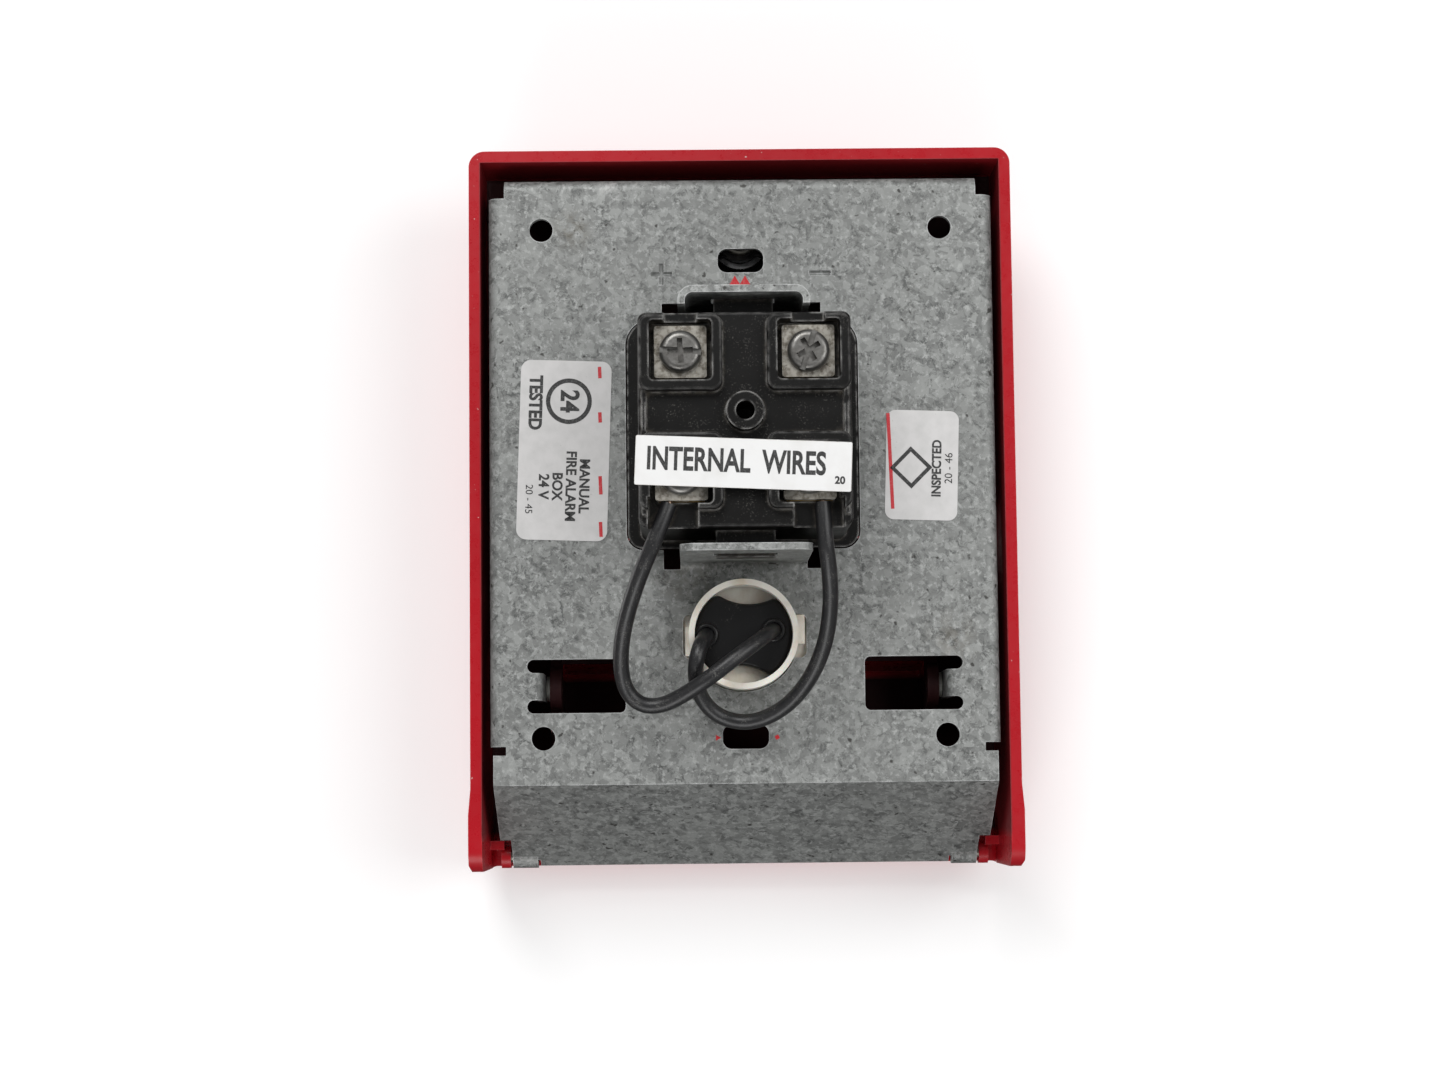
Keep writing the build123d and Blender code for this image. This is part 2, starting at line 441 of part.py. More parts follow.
def terminal_screw(x, z, slot_angle, cross_angle):
    """Pan-head screw with a straight slot and a cross recess, each left at its own angle."""
    head_y = POCKET_FLOOR + 2 * CONDUCTOR_RADIUS + 0.05 + CLAMP_THICKNESS
    top = head_y + SCREW_HEAD_HEIGHT
    screw = rod_y(x, z, SCREW_HEAD_RADIUS, head_y, top)
    screw = fillet(screw.faces().sort_by(Axis.Y)[-1].edges(), 1.1)
    screw += rod_y(x, z, SCREW_RADIUS, POCKET_FLOOR - SCREW_LENGTH + 1, head_y + 0.5)
    place = Pos(x, top, z)
    screw -= place * Rot(0, slot_angle, 0) * Box(2 * SCREW_HEAD_RADIUS + 1, 1.5, 1.0)
    for turn in (cross_angle, cross_angle + 90):
        screw -= place * Rot(0, turn, 0) * Box(4.2, 2.5, 0.9)
    return screw


def conductor(side):
    """Bared end of a lead, clamped between the bus bar and the clamp plate."""
    x = side * (TERMINAL_X + 2.1)
    y = POCKET_FLOOR + CONDUCTOR_RADIUS
    z_top = TERMINAL_Z["lower"] + 1.5
    along = extrude(Plane.XY.offset(LEAD_WIRE_LEFT[0][2]) * (Pos(x, y) * Circle(CONDUCTOR_RADIUS)),
                    amount=z_top - LEAD_WIRE_LEFT[0][2])
    return along


# ---- lead wires --------------------------------------------------------------------------------
def corner_radii(points):
    """Each arc is as large as its two runs allow."""
    radii = []
    for a, b, c in zip(points, points[1:], points[2:]):
        before, after = Vector(*b) - Vector(*a), Vector(*c) - Vector(*b)
        half_turn = math.radians(before.get_angle(after)) / 2
        radii.append(0.45 * min(before.length, after.length) / math.tan(half_turn))
    return radii


def lead_wire(name, points):
    radii = corner_radii(points)
    path = FilletPolyline(*points, radius=radii)
    start = Plane(origin=points[0], z_dir=Vector(*points[1]) - Vector(*points[0]))
    tube = sweep(start * Circle(WIRE_DIAMETER / 2), path=path)
    expected = math.pi * WIRE_DIAMETER**2 / 4 * path.length
    print(name, "length", round(path.length, 2), "radii", [round(r, 1) for r in radii])
    print("  volume", round(tube.volume, 1), "expected", round(expected, 1))
    return tube


# ---- switch ------------------------------------------------------------------------------------
def at_switch(sketch):
    return Pos(SWITCH_X, SWITCH_Z) * sketch


def switch_holder():
    """Moulded barrel through the plate: a collar in front of the sheet, two lugs behind it."""
    ring = Circle(BARREL_RADIUS) - Circle(BARREL_RADIUS - BARREL_WALL)
    barrel = slab(at_switch(ring), BARREL_FRONT, BARREL_BACK)
    floor = Circle(BARREL_RADIUS - 0.5) - Circle(PLUNGER_RADIUS - 1.6)
    barrel += slab(at_switch(floor), FLOOR_FRONT, FLOOR_BACK)
    collar = Circle(COLLAR_RADIUS) - Circle(BARREL_RADIUS - 0.5)
    barrel += slab(at_switch(collar), -SHEET - COLLAR_THICKNESS, -SHEET)
    for side, shift in ((1, -0.9), (-1, 1.0)):
        x = sorted((side * (BARREL_RADIUS - 0.6), side * LUG_REACH))
        z = SWITCH_Z + shift
        barrel += block(x[0], x[1], 0.05, LUG_THICKNESS, z - LUG_HEIGHT / 2, z + LUG_HEIGHT / 2)
    return barrel - slab(at_switch(Circle(BARREL_RADIUS - BARREL_WALL)), FLOOR_BACK, BARREL_BACK + 1)


def switch_insert():
    """Black bow-tie insert in the back of the barrel, with a raised collar where each lead goes in."""
    disc = Circle(BARREL_RADIUS - BARREL_WALL - 0.1)
    disc -= Pos(0, INSERT_BOW) * Circle(INSERT_BOW - INSERT_WAIST)
    disc -= Pos(0, -INSERT_BOW) * Circle(INSERT_BOW - INSERT_WAIST)
    disc = fillet(disc.vertices(), 1.3)
    insert = slab(at_switch(Rot(0, 0, INSERT_TURN) * disc), FLOOR_BACK, INSERT_BACK)
    insert = fillet(insert.faces().sort_by(Axis.Y)[-1].edges(), 0.7)
    for wire in (LEAD_WIRE_LEFT, LEAD_WIRE_RIGHT):
        x, y, z = wire[-1]
        collar = rod_y(x, z, COLLAR_OUT, y - 1, y + COLLAR_RISE)
        insert += fillet(collar.faces().sort_by(Axis.Y)[-1].edges(), 0.5)
        insert -= rod_y(x, z, WIRE_DIAMETER / 2, y, y + COLLAR_RISE + 1)
    return insert


def fixed_contacts():
    """Two brass strips that run from the barrel's floor to their contact pads."""
    pad_y = CONTACT_Y - CONTACT_THICKNESS - PLUNGER_TRAVEL - FIXED_CONTACT_GAP
    strips = None
    for side in (-1, 1):
        x = SWITCH_X + side * 5.6
        pad = block(x - 1.3, x + 1.3, pad_y - 0.8, pad_y, SWITCH_Z - 2.5, SWITCH_Z + 2.5)
        leg_x = sorted((x + side * 1.3, x + side * 1.9))
        leg = block(*leg_x, pad_y - 0.8, FLOOR_FRONT, SWITCH_Z - 1.5, SWITCH_Z + 1.5)
        strips = pad + leg if strips is None else strips + pad + leg
    return strips


def switch_plunger():
    """Cup that slides in the barrel's front; the spring sits in its bore."""
    plunger = slab(at_switch(Circle(PLUNGER_RADIUS)), PLUNGER_TIP, -0.2)
    plunger = fillet(plunger.faces().sort_by(Axis.Y)[0].edges(), 1.2)
    plunger -= slab(at_switch(Circle(PLUNGER_BORE)), PLUNGER_TIP + 2.5, 0)
    flange = Circle(PLUNGER_RADIUS + 0.8) - Circle(PLUNGER_BORE)
    plunger += slab(at_switch(flange), CONTACT_Y, CONTACT_Y + 0.8)
    return plunger


def moving_contact():
    """Bridge that closes the two fixed contacts when the plunger comes forward."""
    half_height = 2.1
    y0 = CONTACT_Y - CONTACT_THICKNESS
    bridge = block(SWITCH_X - CONTACT_HALF + 1, SWITCH_X + CONTACT_HALF - 1, y0, CONTACT_Y,
                   SWITCH_Z - half_height, SWITCH_Z + half_height)
    ring = slab(at_switch(Circle(PLUNGER_RADIUS + 0.9)), y0, CONTACT_Y)
    return bridge + ring - slab(at_switch(Circle(PLUNGER_RADIUS)), y0 - 1, CONTACT_Y + 1)


def plunger_spring():
    y0, y1 = PLUNGER_TIP + 2.6 + SPRING_WIRE, FLOOR_FRONT - SPRING_WIRE - 0.1
    pitch = (y1 - y0) / SPRING_TURNS
    spine = Plane(origin=(SWITCH_X, y0, SWITCH_Z), z_dir=(0, 1, 0), x_dir=(1, 0, 0))
    helix = spine * Helix(pitch=pitch, height=y1 - y0, radius=SPRING_RADIUS)
    start = Plane(origin=helix @ 0, z_dir=helix % 0)
    return sweep(start * Circle(SPRING_WIRE), path=helix, is_frenet=True)


# ---- pull lever --------------------------------------------------------------------------------
def wall_point(s, inward=0.0):
    """A point s up the lever's front wall from where it leaves the drum, and inward from it."""
    a = math.radians(DRUM_START_ANGLE)
    y, z = about_pivot(DRUM_RADIUS, DRUM_START_ANGLE)
    return (y - s * math.sin(a) + inward * math.cos(a), z + s * math.cos(a) + inward * math.sin(a))


def sector(radius, angle0, angle1):
    steps = 8
    rim = [about_pivot(radius * 1.3, angle0 + (angle1 - angle0) * i / steps) for i in range(steps + 1)]
    return area((PIVOT_Y, PIVOT_Z), *rim) & (Pos(PIVOT_Y, PIVOT_Z) * Circle(radius))


def lever_frame():
    """Red moulded trough that fills the cover's opening: fingers go in behind its front wall."""
    drum = sector(DRUM_RADIUS, DRUM_START_ANGLE, DRUM_END_ANGLE)
    drum -= Pos(PIVOT_Y, PIVOT_Z) * Circle(DRUM_RADIUS - LEVER_WALL)
    length = FRONT_WALL_LENGTH
    front = area(
        wall_point(-0.4), wall_point(length), wall_point(length, LEVER_WALL), wall_point(-0.4, LEVER_WALL),
    )
    floor = area(
        wall_point(5.0, 1.0), wall_point(5.0 + LEVER_WALL, 1.0),
        (REAR_WALL_Y - 1, REAR_WALL_BOTTOM + LEVER_WALL), (REAR_WALL_Y - 1, REAR_WALL_BOTTOM),
    )
    rear = rect(REAR_WALL_Y - LEVER_WALL, REAR_WALL_Y, REAR_WALL_BOTTOM, REAR_WALL_TOP)
    inside = HUB_INNER
    frame = rail(drum + front + floor + rear, -inside - 0.5, inside + 0.5)
    arc = [about_pivot(DRUM_RADIUS, DRUM_START_ANGLE), about_pivot(DRUM_RADIUS, DRUM_END_ANGLE)]
    middle = about_pivot(DRUM_RADIUS, (DRUM_START_ANGLE + DRUM_END_ANGLE) / 2)
    rest = Polyline(
        arc[1], (PIVOT_Y, PIVOT_Z - HUB_RADIUS), (PIVOT_Y, PIVOT_Z), (PIVOT_Y + HUB_RADIUS, PIVOT_Z),
        (REAR_WALL_Y, REAR_WALL_BOTTOM + 4), (REAR_WALL_Y, REAR_WALL_TOP),
        (REAR_WALL_Y - LEVER_WALL, REAR_WALL_TOP), wall_point(length), arc[0],
    )
    cheek = make_face(rest + ThreePointArc(arc[0], middle, arc[1]))
    cheek += Pos(PIVOT_Y, PIVOT_Z) * Circle(HUB_RADIUS)
    frame += both_sides(rail(cheek, inside, LEVER_HALF))
    return frame - both_sides(rod_x(PIVOT_Y, PIVOT_Z, PIN_RADIUS, HUB_INNER - 1, LEVER_HALF + 1))


def pull_handle():
    """White grip plate on the lever's front wall, with a lip over its top edge."""
    face = area(
        wall_point(GRIP_FROM), wall_point(GRIP_TO), wall_point(GRIP_TO, -GRIP_THICKNESS),
        wall_point(GRIP_FROM, -GRIP_THICKNESS),
    )
    face = fillet(face.vertices(), 1.3)
    face += area(
        wall_point(GRIP_FROM), wall_point(GRIP_TO - 1.4), wall_point(GRIP_TO - 1.4, -1.5),
        wall_point(GRIP_FROM, -1.0),
    )
    lip = area(
        wall_point(FRONT_WALL_LENGTH + 0.02, -1.5), wall_point(GRIP_TO - 0.3, -1.5),
        wall_point(GRIP_TO - 0.3, LEVER_WALL), wall_point(FRONT_WALL_LENGTH + 0.02, LEVER_WALL),
    )
    return rail(face + lip, -GRIP_HALF, GRIP_HALF)


def striker_pad():
    """Rubber pad on the lever's rear wall, against which the plunger rests."""
    return slab(at_switch(RectangleRounded(9, 7.5, 1.5)), REAR_WALL_Y, PLUNGER_TIP - 0.1)


def pivot_pins():
    return both_sides(rod_x(PIVOT_Y, PIVOT_Z, PIN_RADIUS, HUB_INNER + 0.1, EAR_INNER_X + SHEET + 1.6))


def pivot_washers():
    washer = rod_x(PIVOT_Y, PIVOT_Z, 2.2, LEVER_HALF, EAR_INNER_X - 0.1)
    return both_sides(washer - rod_x(PIVOT_Y, PIVOT_Z, PIN_RADIUS, LEVER_HALF - 1, EAR_INNER_X + 1))


def retaining_rings():
    x0 = EAR_INNER_X + SHEET + 0.4
    ring = rod_x(PIVOT_Y, PIVOT_Z, 2.3, x0, x0 + 0.6) - rod_x(PIVOT_Y, PIVOT_Z, PIN_RADIUS, x0 - 1, x0 + 2)
    ring -= block(x0 - 1, x0 + 2, PIVOT_Y - 0.7, PIVOT_Y + 0.7, PIVOT_Z - 4, PIVOT_Z)
    return both_sides(ring)


# ---- cover -------------------------------------------------------------------------------------
def wedge(x_half, rim_y, top, bottom, inset):
    face = area((rim_y, top), (rim_y, bottom), (front_y(bottom) + inset, bottom), (front_y(top) + inset, top))
    return rail(face, -x_half, x_half)


def cover_shell():
    half = COVER_WIDTH / 2
    outer = wedge(half, RIM_Y, COVER_TOP, COVER_BOTTOM, 0)
    upright = [e for e in outer.edges().filter_by(GeomType.LINE) if abs(e.tangent_at(0).Y) > 0.99]
    top_side = [e for e in upright if e.center().Z > 0]
    outer = fillet(top_side, COVER_TOP_RADIUS)
    outer = fillet(outer.faces().filter_by(lambda f: f.normal_at().Y < -0.95).edges(), COVER_FRONT_RADIUS)
    low = COVER_BOTTOM
    flare = area(
        (half - 0.5, FLARE_FROM), (half, FLARE_FROM), (half + FLARE, FLARE_FULL), (half + FLARE, FLARE_TO),
        (half, low + 0.2), (half - 0.5, low + 0.2),
    )
    outer += both_sides(slab(flare, front_y(FLARE_FROM) + COVER_FRONT_RADIUS, RIM_Y))
    inner = wedge(half - COVER_WALL, 2, COVER_TOP - COVER_WALL, COVER_BOTTOM - 3, COVER_WALL)
    inner = fillet(inner.faces().filter_by(lambda f: f.normal_at().Y < -0.95).edges(), 1.0)
    shell = outer - inner
    # round the lower back corners of the side walls, which swing past the wall
    corner = rect(RIM_Y - 4, RIM_Y + 1, COVER_BOTTOM - 1, COVER_BOTTOM + 4)
    corner -= Pos(RIM_Y - 4, COVER_BOTTOM + 4) * Circle(4)
    shell -= rail(corner, -half - 2, half + 2)
    # raised border and the opening that the lever fills
    border = rect(
        -APERTURE_HALF - BORDER, APERTURE_HALF + BORDER, APERTURE_BOTTOM - BORDER, APERTURE_TOP + BORDER, 4.0
    )
    band = slab(border, front_y(COVER_BOTTOM) - 4, front_y(COVER_TOP))
    band &= wedge(half - 5, 5, COVER_TOP - 5, COVER_BOTTOM + 5, -BORDER_HEIGHT)
    band -= wedge(half, 6, COVER_TOP, COVER_BOTTOM, COVER_WALL / 2)
    shell += band
    opening = rect(-APERTURE_HALF, APERTURE_HALF, APERTURE_BOTTOM, APERTURE_TOP, 1.5)
    shell -= slab(opening, -40, front_y(0) + 12)
    # curved hood behind the opening's top edge
    hood = Pos(PIVOT_Y, PIVOT_Z) * (Circle(HOOD_RADIUS + HOOD_WALL) - Circle(HOOD_RADIUS))
    hood &= rect(front_y(APERTURE_TOP) + 0.8, REAR_WALL_Y + 0.5, APERTURE_TOP - 2, APERTURE_TOP + 6)
    shell += rail(hood, -APERTURE_HALF, APERTURE_HALF)
    # hinge lugs: a bar from the side wall and a leg that hangs on the pin
    knuckle = Pos(HINGE_Y, HINGE_Z) * Circle(KNUCKLE_RADIUS)
    knuckle += rect(front_y(HINGE_Z) + 1.0, HINGE_Y, HINGE_Z - 1.5, HINGE_Z + 2.9)
    knuckle += rect(HINGE_Y - 1.5, HINGE_Y + 1.5, LUG_TIP_Z, HINGE_Z)
    leg = rail(knuckle, LUG_INNER, LUG_OUTER)
    bar = block(LUG_OUTER - 0.6, half - 1, HINGE_Y - 3.0, HINGE_Y + 3.0, LUG_BAR_BOTTOM, LUG_BAR_TOP)
    post = block(LUG_OUTER - 0.6, LUG_OUTER, HINGE_Y - 1.5, HINGE_Y + 1.5, HINGE_Z, LUG_BAR_TOP)
    shell += both_sides(leg + bar + post)
    shell -= both_sides(rod_x(HINGE_Y, HINGE_Z, HINGE_PIN_RADIUS + RUNNING, LUG_INNER - 1, LUG_OUTER + 0.2))
    # boss for the lock
    boss = rod_y(0, LOCK_Z, LOCK_BOSS_RADIUS, LOCK_SEAT_Y, front_y(LOCK_Z) + COVER_WALL + 0.8)
    shell += boss
    shell -= rod_y(0, LOCK_Z, LOCK_RADIUS + 0.1, -30, 0)
    return shell


def lock_body():
    body = rod_y(0, LOCK_Z, LOCK_RADIUS, LOCK_SEAT_Y - 0.5, LOCK_REAR_Y)
    flange = rod_y(0, LOCK_Z, LOCK_FLANGE_RADIUS, LOCK_FRONT_Y, LOCK_SEAT_Y)
    flange = fillet(flange.faces().sort_by(Axis.Y)[0].edges(), 0.8)
    return body + flange - rod_y(0, LOCK_Z, PLUG_RADIUS + 0.08, -30, 0)


def lock_seat_rear():
    return front_y(LOCK_Z) + COVER_WALL + 0.8


def lock_washer():
    y0 = lock_seat_rear()
    ring = Pos(0, LOCK_Z) * (Circle(7.6) - Circle(LOCK_RADIUS + 0.06))
    return slab(ring, y0, y0 + WASHER_THICKNESS)


def lock_nut():
    y0 = lock_seat_rear() + WASHER_THICKNESS
    hexagon = RegularPolygon(NUT_FLATS / 2, 6, major_radius=False) - Circle(LOCK_RADIUS + 0.06)
    return slab(Pos(0, LOCK_Z) * hexagon, y0, y0 + NUT_THICKNESS)


def lock_plug():
    """Cylinder with the keyway in front and a square stub behind that drives the cam."""
    plug = rod_y(0, LOCK_Z, PLUG_RADIUS, LOCK_FRONT_Y + 0.3, LOCK_REAR_Y + 0.2)
    plug += block(-2, 2, LOCK_REAR_Y, CAM_Y + CAM_THICKNESS, LOCK_Z - 2, LOCK_Z + 2)
    plug -= block(-0.7, 0.7, LOCK_FRONT_Y - 1, LOCK_FRONT_Y + 7, LOCK_Z - 2.6, LOCK_Z + 2.6)
    plug -= rod_y(0, LOCK_Z, 1.1, CAM_Y - 3, 0)
    return plug


def lock_cam():
    """Steel cam: it points sideways while unlocked, and up behind the plate's lip when locked."""
    y1 = CAM_Y + CAM_THICKNESS
    cam = rect(-CAM_REACH + CAM_HALF, 0, LOCK_Z - CAM_HALF, LOCK_Z + CAM_HALF)
    cam += Pos(-CAM_REACH + CAM_HALF, LOCK_Z) * Circle(CAM_HALF)
    cam += Pos(0, LOCK_Z) * Circle(CAM_HALF + 1.1)
    return slab(cam, CAM_Y, y1) - block(-2.03, 2.03, CAM_Y - 1, y1 + 1, LOCK_Z - 2.03, LOCK_Z + 2.03)


def cam_screw():
    y1 = CAM_Y + CAM_THICKNESS
    screw = rod_y(0, LOCK_Z, 1.05, CAM_Y - 2.5, y1 + 1)
    head = rod_y(0, LOCK_Z, 3.2, y1, y1 + 1.6)
    head = fillet(head.faces().sort_by(Axis.Y)[-1].edges(), 0.6)
    return screw + head - Pos(0, y1 + 1.6, LOCK_Z) * (Box(5, 1.6, 0.9) + Box(0.9, 1.6, 5))


# ---- labels ------------------------------------------------------------------------------------
def label(x, z, width, height, tilt, y, corner):
    shape = Pos(x, z) * Rot(0, 0, tilt) * RectangleRounded(width, height, corner)
    return slab(shape, y, y + LABEL)


# ---- write every piece ---------------------------------------------------------------------------
os.makedirs("parts", exist_ok=True)

save("mounting_plate", mounting_plate())
save("hinge_pins", hinge_pins())
save("terminal_block", terminal_block())
for side_name, side in (("left", 1), ("right", -1)):
    save(f"bus_bar_{side_name}", bus_bar(side))
    for row, z in TERMINAL_Z.items():
        save(f"clamp_plate_{row}_{side_name}", clamp_plate(side * TERMINAL_X, z))
save("terminal_screws", Compound(children=[
    terminal_screw(side * TERMINAL_X, TERMINAL_Z[row], *SCREW_ANGLES[side_name, row])
    for side_name, side in (("left", 1), ("right", -1)) for row in TERMINAL_Z
]))
save("lead_ends", Compound(children=[conductor(-1), conductor(1)]))
save("lead_wire_left", lead_wire("lead_wire_left", LEAD_WIRE_LEFT))
save("lead_wire_right", lead_wire("lead_wire_right", LEAD_WIRE_RIGHT))
save("switch_holder", switch_holder())
save("switch_insert", switch_insert())
save("fixed_contacts", fixed_contacts())
save("switch_plunger", switch_plunger())
save("moving_contact", moving_contact())
save("plunger_spring", plunger_spring())
save("lever_frame", lever_frame())
save("pull_handle", pull_handle())
save("striker_pad", striker_pad())
save("pivot_pins", pivot_pins())
save("pivot_washers", pivot_washers())
save("retaining_rings", retaining_rings())
save("cover_shell", cover_shell())
save("lock_body", lock_body())
save("lock_washer", lock_washer())
save("lock_nut", lock_nut())
save("lock_plug", lock_plug())
save("lock_cam", lock_cam())
save("cam_screw", cam_screw())
rating_width = LABEL_ROOM - RATING_EDGE - RATING_GAP
rating_x = PLATE_WIDTH / 2 - RATING_EDGE - rating_width / 2
save("rating_label", label(rating_x, 5.6, rating_width, 31.5, 2.0, 0, 1.8))
approval_width = LABEL_ROOM - APPROVAL_EDGE - APPROVAL_GAP
approval_x = -PLATE_WIDTH / 2 + APPROVAL_EDGE + approval_width / 2
save("approval_label", label(approval_x, 2.4, approval_width, 19.2, 2.0, 0, 1.6))
save("wiring_label", label(0.4, -0.2, 35.6, 8.2, 2.5, BLOCK_BACK, 0.3))
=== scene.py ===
"""Looks for a wall-mounted manual fire alarm station, seen from behind: a red moulded cover around
a galvanised mounting plate that carries the terminal block, two leads, the switch and the lever.

Frame: metres, +X to the right of someone in front of the station, +Z up, the front faces -Y, and
the wall is the plane y = 0. Everything on the plate's back is therefore seen from +Y.
"""
import math

import bpy
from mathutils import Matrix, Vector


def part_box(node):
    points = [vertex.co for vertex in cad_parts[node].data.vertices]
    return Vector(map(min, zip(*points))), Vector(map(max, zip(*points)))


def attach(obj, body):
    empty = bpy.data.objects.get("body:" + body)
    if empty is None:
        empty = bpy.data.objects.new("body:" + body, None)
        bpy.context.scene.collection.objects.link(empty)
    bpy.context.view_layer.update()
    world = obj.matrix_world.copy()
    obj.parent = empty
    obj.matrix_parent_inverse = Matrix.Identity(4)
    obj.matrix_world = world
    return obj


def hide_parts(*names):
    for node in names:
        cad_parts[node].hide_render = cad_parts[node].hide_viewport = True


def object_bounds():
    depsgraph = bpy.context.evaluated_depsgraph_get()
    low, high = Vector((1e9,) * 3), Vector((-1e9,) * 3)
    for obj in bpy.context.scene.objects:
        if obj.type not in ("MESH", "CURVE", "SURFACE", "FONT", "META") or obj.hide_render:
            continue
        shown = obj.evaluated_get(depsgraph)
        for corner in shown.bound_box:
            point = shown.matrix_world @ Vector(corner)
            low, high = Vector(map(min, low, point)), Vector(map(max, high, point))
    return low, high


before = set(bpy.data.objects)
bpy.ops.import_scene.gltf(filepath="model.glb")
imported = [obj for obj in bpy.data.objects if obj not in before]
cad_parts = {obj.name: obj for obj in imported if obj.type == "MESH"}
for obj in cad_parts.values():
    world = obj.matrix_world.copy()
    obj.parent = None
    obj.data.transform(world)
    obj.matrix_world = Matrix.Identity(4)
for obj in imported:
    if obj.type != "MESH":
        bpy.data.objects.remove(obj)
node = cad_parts
cad_box = [list(corner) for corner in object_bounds()]

# ---- Camera ---------------------------------------------------------------------------------
# The station lies on its face and is seen from straight above its back, nearly half a metre
# away and a little towards its lower edge.
mm = 0.001
bpy.ops.object.select_all(action="DESELECT")
bpy.ops.object.camera_add(
    location=(8.7 * mm, 475 * mm, -52.5 * mm),
    rotation=(math.radians(95.03), math.radians(0.62), math.radians(179.45)),
)
camera = bpy.context.object
camera.name = "camera"
camera.data.sensor_width = 36
camera.data.lens = 68.4
camera.data.clip_start = 0.01
bpy.context.scene.camera = camera

# ---- Lead wires -----------------------------------------------------------------------------
# Two short leads of stranded copper in charcoal insulation. Each runs from a lower terminal in
# one free loop to its collar in the switch's insert, and one loop crosses over the other.
WIRE_DIAMETER = 2.7
LEFT_LEAD = [
    (12.7, 24.0, -6.4), (14.7, 24.3, -11.6), (17.3, 22.6, -17.1), (19.6, 19.2, -23.1),
    (21.0, 15.6, -28.7), (21.2, 12.8, -33.6), (20.2, 11.3, -37.1), (17.7, 10.8, -39.3),
    (14.2, 11.0, -39.3), (10.3, 12.4, -37.4), (6.0, 13.9, -34.6), (2.1, 13.7, -31.6),
    (-1.6, 12.0, -28.9), (-4.2, 9.0, -26.9), (-4.9, 5.2, -26.4),
]
RIGHT_LEAD = [
    (-12.7, 24.0, -6.4), (-12.9, 24.4, -12.0), (-13.8, 22.0, -17.6), (-14.1, 18.2, -23.4),
    (-13.2, 14.4, -29.6), (-10.7, 10.8, -35.3), (-6.5, 7.4, -40.0), (-0.8, 5.2, -42.4),
    (4.4, 4.9, -41.4), (7.6, 6.6, -38.4), (8.7, 9.6, -34.6), (8.4, 11.3, -31.1),
    (7.3, 9.3, -28.1), (6.6, 5.2, -27.1),
]


def new_group(name, inputs, outputs):
    """An empty node group with named sockets: inputs is {name: (kind, value)}."""
    group = bpy.data.node_groups.new(name, "ShaderNodeTree")
    for socket, (kind, value) in inputs.items():
        made = group.interface.new_socket(socket, in_out="INPUT", socket_type=f"NodeSocket{kind}")
        if value is not None:
            made.default_value = value
    for socket in outputs:
        group.interface.new_socket(socket, in_out="OUTPUT", socket_type="NodeSocketFloat")
    return group, group.nodes.new("NodeGroupInput").outputs, group.nodes.new("NodeGroupOutput").inputs


def add_node(tree, kind, links=None, **values):
    """A node of that kind: links go into its inputs, and values set its properties or inputs."""
    made = tree.nodes.new(f"ShaderNode{kind}")
    for name, value in values.items():
        if hasattr(made, name):
            setattr(made, name, value)
        else:
            made.inputs[name].default_value = value
    for key, source in (links or {}).items():
        tree.links.new(source, made.inputs[key])
    return made


def math_node(tree, operation, a, b=None, clamp=False):
    """A sum, product and so on of a and b, each a number or a socket."""
    made = tree.nodes.new("ShaderNodeMath")
    made.operation = operation
    made.use_clamp = clamp
    for socket, value in zip(made.inputs, (a, b)):
        if value is None:
            continue
        if isinstance(value, (int, float)):
            socket.default_value = value
        else:
            tree.links.new(value, socket)
    return made.outputs[0]


def spread(tree, value, low, high, to_low=0.0, to_high=1.0):
    """Maps value from low..high to to_low..to_high and holds it there."""
    made = add_node(tree, "MapRange", {"Value": value})
    for name, number in zip(("From Min", "From Max", "To Min", "To Max"), (low, high, to_low, to_high)):
        made.inputs[name].default_value = number
    return made.outputs[0]


def noise(tree, place, scale, detail=3.0, rough=0.55, distortion=0.0):
    """A cloudy value around 0.5; scale is in lumps per metre."""
    made = add_node(tree, "TexNoise", {"Vector": place})
    made.inputs["Scale"].default_value = scale
    made.inputs["Detail"].default_value = detail
    made.inputs["Roughness"].default_value = rough
    made.inputs["Distortion"].default_value = distortion
    return made.outputs[0]


# Dust settles on whatever faces up, and up is +Y while the station lies on its face. Fine specks
# show where they pass a limit, which is lower in patches and where there is more dust.
dust, given, out = new_group(
    "settled dust",
    {
        "Place": ("Vector", None), "Facing": ("Vector", None),
        "Amount": ("Float", 0.5), "Scale": ("Float", 1.0),
    },
    ["Mask"],
)
facing = add_node(dust, "SeparateXYZ", {0: given["Facing"]}).outputs[1]
up = spread(dust, facing, 0.15, 0.95)
size = math_node(dust, "MULTIPLY", given["Scale"], 2600.0)
fine = add_node(dust, "TexNoise", {"Vector": given["Place"], "Scale": size}, Detail=5.0).outputs[0]
size = math_node(dust, "MULTIPLY", given["Scale"], 260.0)
patch = add_node(dust, "TexNoise", {"Vector": given["Place"], "Scale": size}, Detail=4.0).outputs[0]
limit = math_node(dust, "SUBTRACT", 0.88, math_node(dust, "MULTIPLY", given["Amount"], 0.55))
patchy = math_node(dust, "MULTIPLY", spread(dust, patch, 0.35, 0.7), 0.16)
limit = math_node(dust, "SUBTRACT", limit, patchy)
over = math_node(dust, "SUBTRACT", fine, limit)
dust.links.new(math_node(dust, "MULTIPLY", spread(dust, over, 0.0, 0.16), up), out["Mask"])


